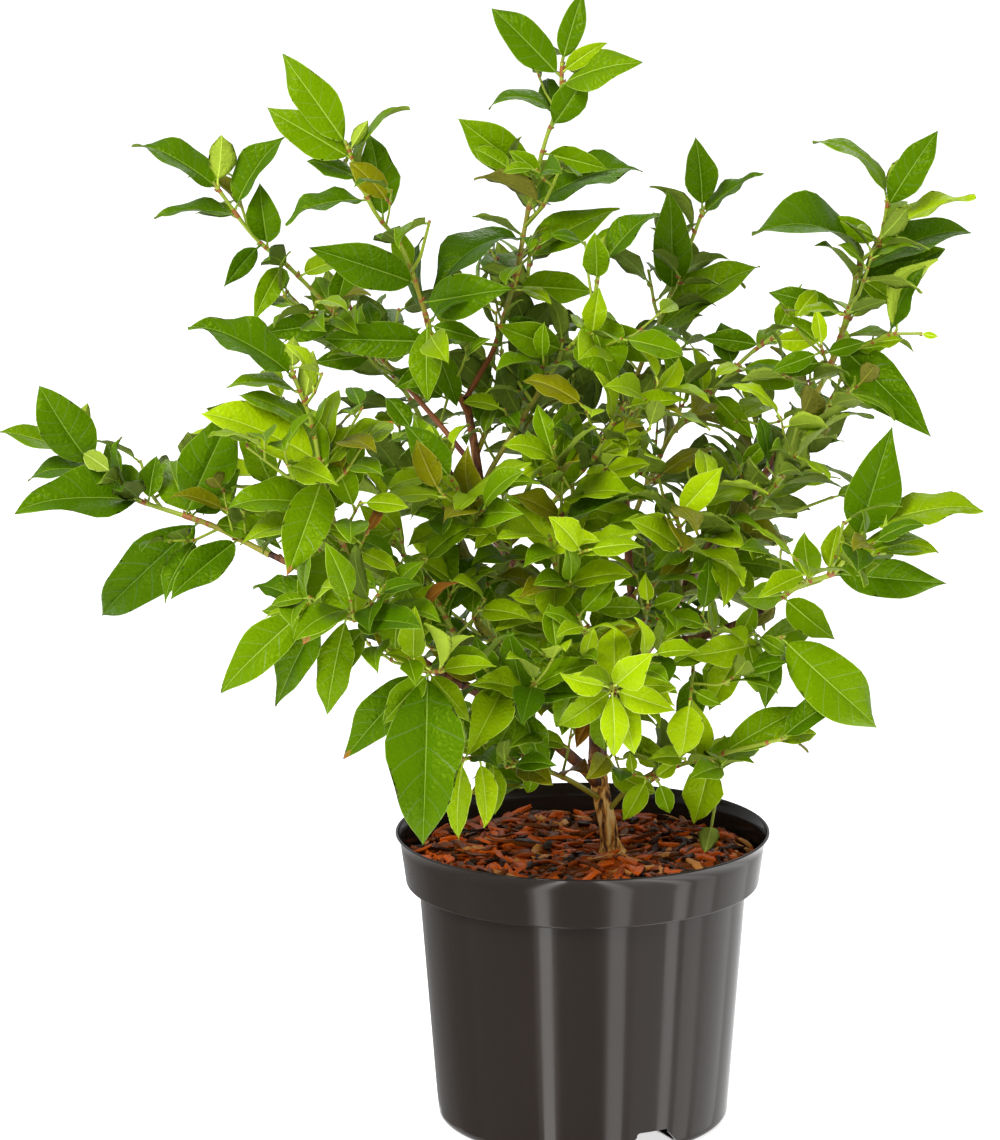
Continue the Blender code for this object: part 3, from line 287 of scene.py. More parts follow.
# Twigs and leaves past the solids': the shoot, a seed, stem and sprig. Where no stem is given, the
# sprig stands on the shoot's own.
FINER = (
    ("right_top", 61, ((127, 25, 389), (141, 10, 396), (153, -4, 404), (167, -10, 405)),
     "17 .8:39/10d, 13 .9:43/12u, 0 3.4:9/4y, 44 2.7:18/8, 30 2.7:16/8"),
    ("right_top", 62, ((121, 28, 374), (122, 10, 386), (118, -6, 398)),
     "0 10.3:25/8, 3 8.3:27/11, 6 2.4:22/10, 2 11.7:22/9y, 16 8.8:28/12"),
    ("low_right", 63, ((8, 3, 180), (12, -18, 187), (24, -36, 188), (38, -44, 187)),
     "40 3.9:29/15, 14 11.7:12/7, 6 6.9:25/13, 0 5.3:18/11, 3 1.8:15/9"),
    ("low_right", 74, ((64, -33, 196), (67, -26, 184), (67, -20, 170), (65, -17, 157)), "0 6.3:16/12u"),
    ("right_low", 64, ((54, -2, 249), (55, -30, 241), (53, -56, 231)),
     "0 6.3:31/20y, 24 6.1:36/16, 30 5.5:19/10, 8 3.9:17/9"),
    ("right_low", 65, ((70, -22, 250), (77, -40, 257), (85, -52, 263)),
     "24 6.8:31/18, 8 5.6:29/14, 28 3.5:18/15, 18 .9:22/12, 0 4.1:20/10"),
    ("front", 66, ((12, -28, 227), (4, -60, 241), (0, -84, 253)),
     "0 6.8:33/17, 4 10.7:17/11, 14 5:23/11, 26 8:26/12"),
    ("right_centre", 67, ((30, 20, 236), (31, -10, 256), (31, -40, 268), (32, -60, 279)),
     "4 9.2:28/12, 0 11.9:17/9y, 2 2.4:19/11, 22 7:24/12, 40 4:26/13, 58 8.4:26/13"),
    ("centre", 68, ((2, 6, 234), (4, -30, 258), (3, -60, 269)),
     "6 7.8:43/17, 0 10.7:22/11, 8 3.7:14/9, 30 1:24/12, 48 5:26/12"),
    ("front", 69, ((6, 8, 208), (7, -24, 217), (8, -48, 226)),
     "2 5.7:24/14, 0 3.9:22/10, 6 7.1:23/9, 26 9:24/11"),
    ("low_centre", 70, None, "50 6.9:42/15, 53 5.4:40/16"),
    ("top_left", 71, None, "112 5.3:34/14, 102 3.5:28/12, 122 8:28/12"),
    ("inner_left", 72, ((-26, -1, 284), (-44, -26, 284), (-62, -46, 278)),
     "0 7.6:38/16, 4 10.6:24/10r, 14 8.6:34/15, 24 5.4:32/14, 38 8.2:30/13"),
    ("left_centre", 73, ((-76, -54, 290), (-86, -66, 304), (-88, -76, 320)),
     "0 8.2:32/11r, 8 10.4:28/11, 18 7:26/12"),
)

# where the photo's own frame shows sky between the leaves: column, row and radius
SKY = (
    (375, 266, 32), (402, 353, 20), (360, 368, 22), (450, 215, 26), (548, 272, 24), (632, 295, 34),
    (250, 468, 30), (832, 505, 22), (812, 540, 24), (726, 345, 18), (800, 612, 26), (742, 712, 28),
    (775, 700, 20), (485, 715, 16), (240, 268, 20), (600, 395, 16), (735, 412, 22), (480, 322, 18),
    (640, 365, 12), (385, 452, 14), (690, 432, 14), (640, 735, 14), (700, 682, 12),
)
SKY_SHARE, SKY_OPEN = 0.4, 0.8
# the inner crown, closed but for that sky: its middle column and row, half width and half height
INNER = (550, 510, 250, 220)
# places along a leaf and across it, in half widths, where it is asked what it covers
LEAF_PLACES = ((0.3, -1), (0.3, 1), (0.48, -1), (0.48, 0), (0.48, 1), (0.7, -0.8), (0.7, 0), (0.7, 0.8),
               (0.86, -0.4), (0.86, 0.4), (1, 0))
RULE_SHARE = 0.87
MOST_EASED, ROLL_KEPT = math.radians(48), 0.35
BROADER, SHORTER = 1.26, 0.92

# finer growth
TWIGLET_STEP, TWIGLET_REACH, TWIGLET_TRIES, TWIGLET_AGE = 10.0, (14, 34), 4, 0.25
SMALL_STEP, SMALL_SIZE, SMALL_TRIES = 6.5, (0.48, 0.78), 7
SPARE_STEP = 7.0
LEAST_COVER, LEAST_COVER_YOUNG = 0.9, 0.8
YOUNG_LEAVES, YOUNG_LENGTH = 3, (9, 17)
COVER_MARGIN, COVER_CELL, COVER_SLACK = 60, 2.0, 0.04
COVER_COLUMNS, COVER_ROWS = 560, 630

# stems and buds: root and tip radius of a stem, its age at the tip and its sides
STEM_FORM, TWIG_FORM, TWIGLET_FORM = (1.5, 0.95, 0, 7), (1.1, 0.75, 12, 5), (0.8, 0.55, 18, 4)
STEM_AGES = (180, 138, 75)
NODE_TINT, NODE_RED, NODE_LONG, NODE_SWELL = 4, 0.45, 1.6, 0.22
STEM_STEP = 1.8
ROOT_NEAR = 1.8           # how near a stem's line the root of its leaf lies
SHIFT_MOST = 4            # how far a leaf's foot is moved to its stem
BUD_SHAPE, BUD_SIDES = ((0.0, 0.7), (0.35, 1.0), (0.72, 0.68), (1.0, 0.08)), 5
BUD_LENGTH, BUD_WIDE, BUD_GREEN_SHARE = (2.0, 3.2), 0.3, 0.6
END_BUD = (3.2, 0.95, 1)

# bark: sides, step along the limb and relief
TRUNK_BARK, BOUGH_BARK = (60, 0.5, 0.85), (20, 1.5, 0.24)
ROUND_SHARE = 0.93
CRACK_SHIFT = Vector((7, 3, 1))

# compost and mulch
SOIL_STEPS, SOIL_RINGS, SOIL_GAP = 96, 14, 0.5
MULCH_FLOOR, MULCH_HIGHEST = 133.0, 140.5
MULCH_CELL, MULCH_CELLS = 2.0, 100
CHIPS = 2000
CHIP_STATIONS = (0.0, 0.1, 0.34, 0.66, 0.9, 1.0)
CHIP_SECTION = ((-1, 0), (-0.55, -1), (0.6, -0.9), (1, 0.1), (0.5, 1), (-0.6, 0.85))
CHIP_CAPS = ((0, 2, 1), (0, 3, 2), (0, 5, 3), (3, 5, 4),
             (30, 31, 32), (30, 32, 33), (30, 33, 35), (33, 34, 35))
CHIP_LENGTH, CHIP_WIDTH, CHIP_THICK = (8, 25), (1.6, 6.2), (1.0, 3.0)
SHORT_SHARE, CHIP_SHORTER, CHIP_SLOPE = 0.4, 0.62, 0.35
CHIP_SHARES = (0.22, 0.48, 0.76, 0.93, 1.0)
CHIP_SHEEN = (1, 0.72, 0.45, 1)
FOOT_AT, FOOT_CLEAR = (15.0, 0.0), 6.5

# colours, as on a screen: top, underside and veins of a leaf, then the rest
TINTS = (
    ("deep", (56, 90, 0), (84, 100, 34), (90, 124, 20)),
    ("mature", (70, 106, 0), (98, 118, 40), (126, 156, 36)),
    ("green", (94, 128, 0), (116, 136, 46), (150, 178, 46)),
    ("fresh", (124, 154, 2), (134, 154, 54), (172, 196, 54)),
    ("lime", (155, 184, 6), (156, 178, 54), (192, 214, 70)),
    ("pale", (142, 164, 50), (146, 168, 66), (186, 204, 98)),
    ("olive", (110, 110, 4), (122, 120, 44), (150, 148, 42)),
    ("bronze", (112, 66, 10), (122, 92, 40), (150, 96, 32)),
)
DEEP, MATURE, GREEN, FRESH, LIME, PALE, OLIVE, BRONZE = range(8)
SIDE_VEIN_SHARE = 0.14
TIP = KINDS * len(TINTS)
TIP_TINTS = (("end", (186, 92, 20)), ("blend", (150, 112, 18)))
TIPPED_SHARE = 0.9
OLIVE_SHARE = 0.08
NET_SCALE, NET_RELIEF, LEAF_RELIEF = 330.0, 0.6, 0.26
LEAF_ROUGH, LEAF_SPECULAR = 0.38, 0.32
UNDER_ROUGH, UNDER_SPECULAR, MIDRIB_ROUGH = 0.6, 0.15, 0.5
LEAF_SHEEN = (0.7, 0.92, 0.04, 1)     # what the leaf's gloss sends back of the white studio
# how tints shift with a leaf's age, and how much painted shade darkens them the deeper in the crown or the
# farther behind a leaf stands
EVEN_AGE, AGE_SHADE, TINT_SPREAD = 0.45, 0.9, 0.75
DEEP_WITHIN, DEEP_BEHIND, PAINTED_DEPTH_SHADE = 130, 160, 0.75
ACCENT_REACH, ACCENT_LEAST = 26, 15
# leaves that stand out, where the photo's own frame shows them: column, row and tint
ACCENTS = (
    (375, 510, BRONZE), (475, 515, BRONZE), (437, 570, BRONZE), (555, 390, OLIVE), (578, 748, BRONZE),
    (581, 787, BRONZE), (432, 760, MATURE), (700, 770, GREEN), (620, 785, MATURE), (520, 715, DEEP),
    (617, 640, LIME), (566, 658, LIME), (612, 705, LIME), (640, 594, LIME), (620, 613, FRESH),
    (680, 725, LIME), (467, 805, FRESH), (292, 520, GREEN), (337, 585, FRESH), (715, 452, LIME),
    (928, 290, LIME), (400, 675, GREEN), (520, 790, GREEN), (460, 500, OLIVE), (690, 340, MATURE),
    (770, 425, DEEP), (620, 430, FRESH), (560, 590, GREEN), (660, 520, FRESH), (420, 440, MATURE),
    (505, 492, GREEN), (913, 166, MATURE), (799, 212, MATURE), (855, 156, GREEN), (890, 389, MATURE),
    (868, 470, MATURE), (314, 96, GREEN), (314, 135, GREEN), (256, 163, MATURE), (488, 142, GREEN),
    (371, 178, MATURE), (238, 342, MATURE), (258, 428, GREEN), (207, 464, MATURE), (98, 460, PALE),
    (255, 658, GREEN), (299, 672, MATURE), (338, 668, GREEN), (377, 721, MATURE), (604, 70, GREEN),
    (586, 56, FRESH), (572, 28, MATURE), (569, 103, MATURE),
)
STEM_TINTS = (
    ("old", (112, 44, 24)), ("russet", (140, 76, 32)), ("olive", (148, 140, 36)),
    ("green", (150, 168, 40)), ("node", (156, 96, 38)),
)
BUD_TINTS = (("red", (134, 78, 36)), ("green", (140, 150, 46)))
CHIP_TINTS = (
    ("orange", (204, 88, 14)), ("rust", (152, 64, 12)), ("brown", (104, 50, 14)),
    ("dark", (40, 16, 4)), ("tan", (200, 132, 66)),
)
# roughness, gloss, grain and relief
STEM_SURFACE, BUD_SURFACE, CHIP_SURFACE = (0.5, 0.4, 700, 0.2), (0.55, 0.4, 1200, 0.2), (0.4, 0.16, 900, 0.5)
POT_COLOUR, POT_SPECULAR, POT_ROUGH, POT_SHARP = (38, 32, 28), 0.17, (0.09, 0.2), math.radians(38)
# mottled looks: colours with their places on the ramp, scale and stretch of the noise, roughness,
# relief and grain
TRUNK_LOOK = (((0.36, (44, 20, 6)), (0.44, (138, 82, 24)), (0.52, (228, 160, 66)), (0.64, (252, 212, 138))),
              250, (1, 1, 0.26), 0.7, 0.6, 560)
BOUGH_LOOK = (((0.34, (46, 22, 10)), (0.47, (98, 50, 22)), (0.6, (136, 84, 38)), (0.74, (178, 136, 74))),
              230, (1, 1, 0.3), 0.6, 0.3, 620)
COMPOST_LOOK = (((0.35, (24, 14, 9)), (0.6, (54, 30, 18))), 300, (1, 1, 1), 0.95, 0.6, 500)

# light
WORLD_COLOUR, WORLD_STRENGTH = (0.97, 0.985, 1, 1), 0.62
FLOOR_COLOUR, FLOOR_GLOW, FLOOR_RADIUS, FLOOR_SIDES = (0.86, 0.86, 0.86, 1), 0.7, 22.0, 96
# name, place, what it looks at, width, height and power
LIGHTS = (
    ("key", (-1.5, -1.9, 2.3), (0, 0, 0.3), 1.3, 1.3, 80.0),
    ("fill", (1.9, -1.6, 1.5), (0, 0, 0.3), 1.5, 1.8, 10.0),
    ("back", (0.4, 2.2, 2.2), (0, 0, 0.35), 1.6, 1.2, 14.0),
)
# bright cards on the floor that show as bands in the pot: where round the pot a band starts and
# ends, in degrees from the front, and how bright it is
CARDS = (
    ("card_edge_left", -88, -60, 0.45), ("card_dim_far_left", -60, -45, 0.35),
    ("card_dim_left", -45, -17.5, 0.5), ("card_left", -15.4, -10.8, 8.4), ("card_dim_middle", -9, 8, 0.6),
    ("card_middle", 9.4, 15.6, 6.2), ("card_inner_right", 19, 30, 2.2), ("card_right", 31, 36, 6.4),
    ("card_far_right", 39, 47, 3.4), ("card_side", 50, 66, 2.1), ("card_edge", 66, 88, 1.2),
)
CARD_START, CARD_REACH, CARD_UP = 0.078, 0.6, 0.0015


# paths

def lengths_along(path):
    total = [0.0]
    for a, b in zip(path, path[1:]):
        total.append(total[-1] + (b - a).length)
    return total


def smooth_path(points, steps):
    """A smooth curve through the points, with this many steps between two of them."""
    p = [Vector(q) for q in points]
    ends = [2 * p[0] - p[1], *p, 2 * p[-1] - p[-2]]
    out = []
    for a, b, c, d in zip(ends, ends[1:], ends[2:], ends[3:]):
        for k in range(steps):
            t = k / steps
            out.append(0.5 * (2 * b + (c - a) * t + (2 * a - 5 * b + 4 * c - d) * t * t
                              + (3 * b - a - 3 * c + d) * t ** 3))
    return [*out, p[-1]]


def point_at(path, distance):
    """Place and direction at this distance along the path."""
    total = lengths_along(path)
    distance = min(max(distance, 0.0), total[-1])
    for i in range(len(path) - 1):
        if distance <= total[i + 1] or i == len(path) - 2:
            run = path[i + 1] - path[i]
            return path[i] + run * ((distance - total[i]) / run.length), run.normalized()


def end_way(path):
    """Direction in which the path ends."""
    return (path[-1] - path[-2]).normalized()


def off_host(path, share):
    """The path without the first part, which lies in what carries it."""
    return [path[0].lerp(path[1], share), *path[1:]]


def across(direction, wish):
    """The wished direction made square to the given one."""
    side = wish - direction * wish.dot(direction)
    if side.length < 0.05:
        side = Vector((1, 0, 0)) - direction * direction.x
    return side.normalized()


def round_way(tangent, azimuth, rise=0.2):
    """The direction square to a stem that looks to this bearing, a little up."""
    return across(tangent, Vector((math.cos(azimuth), math.sin(azimuth), rise)))


def frames(path):
    """Each point of the path with two directions across it, carried on without twisting."""
    normal = across((path[1] - path[0]).normalized(), TUBE_START)
    for i, place in enumerate(path):
        before = (place - path[i - 1]).normalized() if i else None
        after = (path[i + 1] - place).normalized() if i + 1 < len(path) else None
        tangent = ((before or after) + (after or before)).normalized()
        normal = across(tangent, normal)
        yield place, normal, tangent.cross(normal)


def tube(path, radii, sides):
    """Points and faces of a closed tube along the path."""
    points, faces = [], []
    for (place, normal, other), radius in zip(frames(path), radii):
        for k in range(sides):
            angle = 2 * math.pi * k / sides
            points.append(place + (normal * math.cos(angle) + other * math.sin(angle)) * radius)
    for start in range(0, len(points) - sides, sides):
        for k in range(sides):
            a, b = start + k, start + (k + 1) % sides
            faces.append((a, b, b + sides, a + sides))
    faces.append(tuple(reversed(range(sides))))
    faces.append(tuple(range(len(points) - sides, len(points))))
    return points, faces


def tapered(path, root, tip):
    total = lengths_along(path)
    return [root + (tip - root) * s / total[-1] for s in total]


# leaves of the solids

def arc_point(leaf, u, side=0.0, lift=0.0):
    """A point of the leaf: u from root to tip along the arched midrib, side across it, lift off it."""
    bend = leaf["arch"]
    angle = bend / 2 - bend * u
    run = leaf["length"] / bend
    along = run * (math.sin(bend / 2) - math.sin(angle))
    rise = run * (math.cos(angle) - math.cos(bend / 2))
    normal = leaf["normal"] * math.cos(angle) - leaf["dir"] * math.sin(angle)
    turn = leaf["twist"] * u
    sideways = leaf["side"] * math.cos(turn) + normal * math.sin(turn)
    normal = normal * math.cos(turn) - leaf["side"] * math.sin(turn)
    fold = SOLID_FOLD * abs(side)
    return (leaf["root"] + leaf["dir"] * along + leaf["normal"] * rise
            + sideways * side + normal * (lift + fold))


def leaf_solid(leaf):
    """A thin closed leaf: upright petiole end, one or two pairs of margin points, tip, keel below."""
    thick = max(LEAF_THICK_MIN, LEAF_THICK * leaf["length"])
    half = leaf["width"] / 2
    points = [arc_point(leaf, 0, 0, PETIOLE_R), arc_point(leaf, 0, 0, -PETIOLE_R)]
    for u, share in MARGIN_TWO if leaf["full"] else MARGIN_ONE:
        points += [arc_point(leaf, u, -half * share), arc_point(leaf, u, half * share)]
    tip = len(points)
    points += [arc_point(leaf, 1), arc_point(leaf, 0.5, 0, -thick)]
    left, right = list(range(2, tip, 2)), list(range(3, tip, 2))
    faces = [(0, left[0], right[0]), (left[-1], tip, right[-1]), (1, left[0], 0), (0, right[0], 1)]
    for i in range(len(left) - 1):
        faces += [(left[i], left[i + 1], right[i + 1]), (left[i], right[i + 1], right[i])]
    rim = (1, *right, tip, *reversed(left), 1)
    faces += [(tip + 1, a, b) for a, b in zip(rim, rim[1:])]
    return points, [face[::-1] for face in faces]


def leaf_points(leaf, places):
    """Points of a flat leaf, from places along it and across it in half widths."""
    half = leaf["width"] / 2
    return [arc_point(leaf, u, half * side) for u, side in places]


def blade_of(leaf):
    """The leaf without its petiole end, as points and triangles, to see what it would touch."""
    rim = (0, 1, 3, 5, 4, 2, 0)
    return leaf_points(leaf, BLADE_PLACES), [(6, a, b) for a, b in zip(rim, rim[1:])]


def make_leaf(root, direction, normal, length, width, arch, fold, twist, marks, full=False):
    direction = direction.normalized()
    normal = across(direction, normal)
    return dict(root=root, dir=direction, normal=normal, side=direction.cross(normal), length=length,
                width=width, arch=max(arch, 0.05), fold=fold, twist=twist, marks=marks, full=full)


class Space:
    """What is already placed: limbs, twigs and leaves, each with its owner."""

    def __init__(self):
        self.things, self.middles, self.reaches = [], [], []

    def tree(self, shape):
        points, faces = shape
        middle = sum(points, Vector()) / len(points)
        reach = max((p - middle).length for p in points)
        return middle, reach, BVHTree.FromPolygons(points, faces, epsilon=LEAF_GAP)

    def add(self, shape, owner, kind):
        middle, reach, tree = self.tree(shape)
        self.things.append((tree, owner, kind))
        self.middles.append(tuple(middle))
        self.reaches.append(reach)

    def hit(self, shape, owner, own, others):
        """True if the shape touches a thing of these kinds: its owner's own, or the others'."""
        middle, reach, tree = self.tree(shape)
        apart = np.linalg.norm(np.array(self.middles) - np.array(middle), axis=1)
        for i in np.nonzero(apart < np.array(self.reaches) + (reach + LEAF_GAP))[0]:
            its_tree, its_owner, its_kind = self.things[i]
            if its_kind in (own if its_owner == owner else others) and tree.overlap(its_tree):
                return True
        return False


def sprig_leaves(sprig, seed, path):
    """The leaves on a path that its sprig tells."""
    rng = random.Random(seed * 7)
    total = lengths_along(path)[-1]
    found = []
    items = [part.split() for part in sprig.split(",") if part.strip()]
    last = -ROOT_STEP
    for down, pose in sorted((float(down), pose) for down, pose in items):
        down = last = max(down, last + ROOT_STEP)
        hour, size = pose.split(":")
        length, rest = size.split("/")
        marks = rest.lstrip("0123456789.")
        width = float(rest[:len(rest) - len(marks)])
        turn = math.radians(30 * float(hour))
        depth = -0.6 if "f" in marks else 0.6 if "b" in marks else rng.uniform(-0.2, 0.12)
        direction = Vector((math.sin(turn), depth, math.cos(turn))).normalized()
        seen = math.hypot(direction.x, direction.z)
        arch = (1.5 if "c" in marks else 0.5) + rng.uniform(-0.15, 0.25)
        full = float(length) / seen * (arch / 2) / math.sin(arch / 2)
        wide = max(width, LEAF_WIDE * full * rng.uniform(0.92, 1.06))
        roll = math.acos(min(1.0, width / wide))
        face = across(direction, FRONT)
        if "u" in marks:
            face = -face
        sides = [face.copy(), face.copy()]
        sides[0].rotate(Quaternion(direction, roll))
        sides[1].rotate(Quaternion(direction, -roll))
        roll = roll if sides[0].z >= sides[1].z else -roll
        face = max(sides, key=lambda n: n.z)
        root, _ = point_at(path, total - down - ROOT_BACK)
        leaf = make_leaf(root, direction, face, full, wide, arch, rng.uniform(0.12, 0.32),
                         rng.uniform(-0.25, 0.25), marks, full=True)
        found.append(dict(leaf, roll=roll))
    return found


def rule_leaf(rng, place, tangent, azimuth, length):
    """One leaf by the shoot's rule: set round the twig, turned up to the light, tilted a little down at
    random.
    """
    round_it = round_way(tangent, azimuth, 0.25)
    away = across(UP, place - CROWN_AXIS)
    lean = rng.uniform(0.75, 1.25)
    direction = (tangent * math.cos(lean) + round_it * math.sin(lean) + away * 0.25
                 - UP * rng.uniform(-0.1, 0.35))
    normal = UP + away * 0.8 + Vector((rng.uniform(-0.45, 0.45), rng.uniform(-0.45, 0.45), 0))
    return make_leaf(place, direction, normal, length, length * LEAF_WIDE * rng.uniform(0.9, 1.1),
                     rng.uniform(0.3, 0.95), rng.uniform(0.1, 0.32), rng.uniform(-0.3, 0.3), "")


def ease_roll(leaf):
    """Turns a leaf of a sprig to the front and narrows it as much, so that both its halves show."""
    roll, broad = leaf["roll"], "w" in leaf["marks"]
    kept = 0 if broad else ROLL_KEPT
    if abs(roll) < MOST_EASED or broad:
        turn = Quaternion(leaf["dir"], -roll * (1 - kept))
        for key in ("normal", "side"):
            leaf[key] = turn @ leaf[key]
        leaf["width"] *= math.cos(roll) / math.cos(roll * kept)
    if broad:
        leaf["width"] *= BROADER
        leaf["length"] *= SHORTER


def variants(leaf):
    """The leaf as wished, then tilted to the front or back, then turned about its own normal."""
    yield leaf
    nod = across(leaf["dir"], FRONT).cross(leaf["dir"])
    for steps in ((12, -12, 24, -24), (36, -36)):
        for axis in (nod, leaf["normal"]):
            for step in steps:
                turn = Quaternion(axis, math.radians(step))
                other = dict(leaf)
                for key in ("dir", "normal", "side"):
                    other[key] = turn @ leaf[key]
                yield other


def bent_twig(place, tangent, azimuth, weights, reach):
    """Three points of a twig that leaves a stem round and away from the crown, and bends up."""
    along, outward, upward, bend = weights
    away = across(UP, place - CROWN_AXIS)
    heading = (tangent * along + round_way(tangent, azimuth) + away * outward + UP * upward).normalized()
    return [place, place + heading * reach * 0.5, place + (heading + UP * bend) * reach]


def grow_twigs(plant, space):
    """Side twigs by the seeded rule, each a short path that bends up to the light."""
    rng = random.Random(plant["seed"])
    total = lengths_along(plant["path"])[-1]
    azimuth = rng.uniform(0, 2 * math.pi)
    found = []
    for k in range(plant["twig_count"]):
        azimuth += GOLDEN
        share = TWIG_FROM + TWIG_SPAN * (k + 0.5) / plant["twig_count"]
        place, tangent = point_at(plant["path"], total * share)
        for attempt in range(TWIG_TRIES):
            reach = rng.uniform(0.8, 1.15) * (TWIG_LONG - TWIG_LESS * share)
            twig = bent_twig(place, tangent, azimuth, TWIG_WEIGHTS, reach)
            free = off_host(twig, 0.2)
            shape = tube(free, tapered(free, TWIG_R, TWIG_TIP_R), TWIG_SIDES)
            if not space.hit(shape, plant["name"], ("twig",), ("limb", "twig")):
                found.append(twig)
                space.add(shape, plant["name"], "twig")
                break
            azimuth += TRY_TURN
    return found


def grow_leaves(plant, space, stems):
    """Sprig leaves first, then the rule's, each skipped where it has no room."""
    rng = random.Random(plant["seed"] + 500)
    name, path = plant["name"], plant["path"]
    leaves = []

    def settle(leaf, own_space):
        for other in variants(leaf):
            blade = blade_of(other)
            tip = blade[0][5]
            if own_space:
                own = min((tip - p).length for p in stems[name])
                rest = min((tip - p).length for key in stems if key != name for p in stems[key])
                if own - rest > OWN_SPACE:
                    continue
            solid = leaf_solid(other)
            if space.hit(blade, name, ("blade",), ()):
                continue
            if space.hit(solid, name, (), ("limb", "twig", "leaf")):
                continue
            space.add(blade, name, "blade")
            space.add(solid, name, "leaf")
            leaves.append(other)
            return

    def settle_rule(line, distance, size):
        place, tangent = point_at(line, distance)
        length = plant["size"] * size * rng.uniform(0.88, 1.12)
        settle(rule_leaf(rng, place, tangent, azimuth, length), True)

    for leaf in sprig_leaves(plant["sprig"], plant["seed"], path):
        settle(leaf, False)
    azimuth = rng.uniform(0, 2 * math.pi)
    total = lengths_along(path)[-1]
    for k in range(plant["fill"]):
        azimuth += GOLDEN
        share = (k + 0.5) / plant["fill"]
        settle_rule(path, total * (1 - 0.75 * share), 0.72 + 0.35 * share)
    for twig in plant["twigs"]:
        total = lengths_along(twig)[-1]
        count = max(3, int(total / NODE_STEP))
        azimuth += 1.0
        for k in range(count):
            azimuth += GOLDEN
            settle_rule(twig, total * (1 - 0.8 * k / count) - ROOT_BACK, 0.7 + 0.35 * k / count)
    return leaves


# meshes

def add_object(name, data):
    obj = bpy.data.objects.new(name, data)
    bpy.context.scene.collection.objects.link(obj)
    return obj


def flat_object(name, points, faces):
    """An object from plain lists of points in metres and faces."""
    mesh = bpy.data.meshes.new(name)
    mesh.from_pydata(points, [], faces)
    return add_object(name, mesh)


def dress(obj, slot, *replaced):
    """Hides the solids that a finished piece stands for and attaches the piece to the root body. The slot is
    not used.
    """
    if replaced:
        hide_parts(*replaced)
    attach(obj, "root")


class Pile:
    """Points and faces gathered for one joined mesh, each face with the number of its material."""

    def __init__(self):
        self.points, self.quads, self.tris = [], [], []
        self.quad_kinds, self.tri_kinds = [], []
        self.count = 0

    def add(self, points, quads, quad_kinds=0, tris=(), tri_kinds=0):
        points = np.asarray(points, np.float64).reshape(-1, 3)
        quads = np.asarray(quads, np.int64).reshape(-1, 4)
        tris = np.asarray(tris, np.int64).reshape(-1, 3)
        self.points.append(points)
        self.quads.append(quads + self.count)
        self.tris.append(tris + self.count)
        self.quad_kinds.append(np.broadcast_to(quad_kinds, len(quads)))
        self.tri_kinds.append(np.broadcast_to(tri_kinds, len(tris)))
        self.count += len(points)

    def build(self, name, materials, smooth=True):
        points = np.concatenate(self.points) * MM
        quads, tris = np.concatenate(self.quads), np.concatenate(self.tris)
        kinds = np.concatenate([*self.quad_kinds, *self.tri_kinds])
        corners = np.concatenate([quads.ravel(), tris.ravel()])
        starts = np.concatenate([np.arange(len(quads)) * 4, len(quads) * 4 + np.arange(len(tris)) * 3])
        mesh = bpy.data.meshes.new(name)
        mesh.vertices.add(len(points))
        mesh.vertices.foreach_set("co", points.astype(np.float32).ravel())
        mesh.loops.add(len(corners))
        mesh.loops.foreach_set("vertex_index", corners.astype(np.int32))
        mesh.polygons.add(len(starts))
        mesh.polygons.foreach_set("loop_start", starts.astype(np.int32))
        mesh.polygons.foreach_set("material_index", kinds.astype(np.int32))
        mesh.polygons.foreach_set("use_smooth", np.full(len(starts), smooth))
        for material in materials:
            mesh.materials.append(material)
        mesh.update(calc_edges=True)
        return add_object(name, mesh)


def ring_faces(rings, sides):
    """Quads between rings of points that follow each other."""
    i, k = np.meshgrid(np.arange(rings - 1), np.arange(sides), indexing="ij")
    a, b = i * sides + k, i * sides + (k + 1) % sides
    return np.stack([a, b, b + sides, a + sides], axis=-1).reshape(-1, 4)


def turns(steps):
    """Angles of even steps all the way round."""
    return 2 * math.pi * np.arange(steps) / steps


def tube_points(path, radii, sides):
    """Rings of points round the path, with one radius a ring."""
    normals, others = (np.array(way)[:, None] for way in list(zip(*frames(path)))[1:])
    angle = turns(sides)[None, :, None]
    out = np.cos(angle) * normals + np.sin(angle) * others
    return np.array(path)[:, None] + out * np.array(radii, float)[:, None, None]


def add_tube(pile, path, radii, sides, kinds):
    """An open tube along the path."""
    pile.add(tube_points(path, radii, sides), ring_faces(len(path), sides), kinds)


def turned(profile, steps):
    """A body turned about Z from a half section that starts and ends on it: points, quads, end faces."""
    inside = np.array(profile[1:-1])
    angle = turns(steps)
    rings = np.stack([inside[:, :1] * np.cos(angle), inside[:, :1] * np.sin(angle),
                      np.repeat(inside[:, 1:], steps, 1)], axis=-1)
    points = np.concatenate([rings.reshape(-1, 3), [(0, 0, profile[0][1]), (0, 0, profile[-1][1])]])
    count = len(inside) * steps
    tris = []
    for k in range(steps):
        other = (k + 1) % steps
        tris += [(count, other, k), (count + 1, count - steps + k, count - steps + other)]
    return points, ring_faces(len(inside), steps), tris


def even_path(path, step):
    """The path again with points this far apart."""
    total = lengths_along(path)
    count = max(2, round(total[-1] / step))
    wanted = np.linspace(0, total[-1], count + 1)
    points = np.array(path)
    columns = [np.interp(wanted, total, points[:, axis]) for axis in range(3)]
    return [Vector(p) for p in np.stack(columns, axis=1)]


def nearest_on(line, place):
    """Number of the line's point nearest to the place."""
    return int(np.argmin(np.linalg.norm(np.array(line) - np.array(place), axis=1)))


# materials

def srgb(r, g, b):
    """A colour as it looks on a screen, 0 to 255, in the linear values that shaders take."""
    out = [v / 255 / 12.92 if v <= 10 else ((v / 255 + 0.055) / 1.055) ** 2.4 for v in (r, g, b)]
    return (*out, 1.0)


def shader_input(material, name):
    return material.node_tree.nodes["Principled BSDF"].inputs[name]


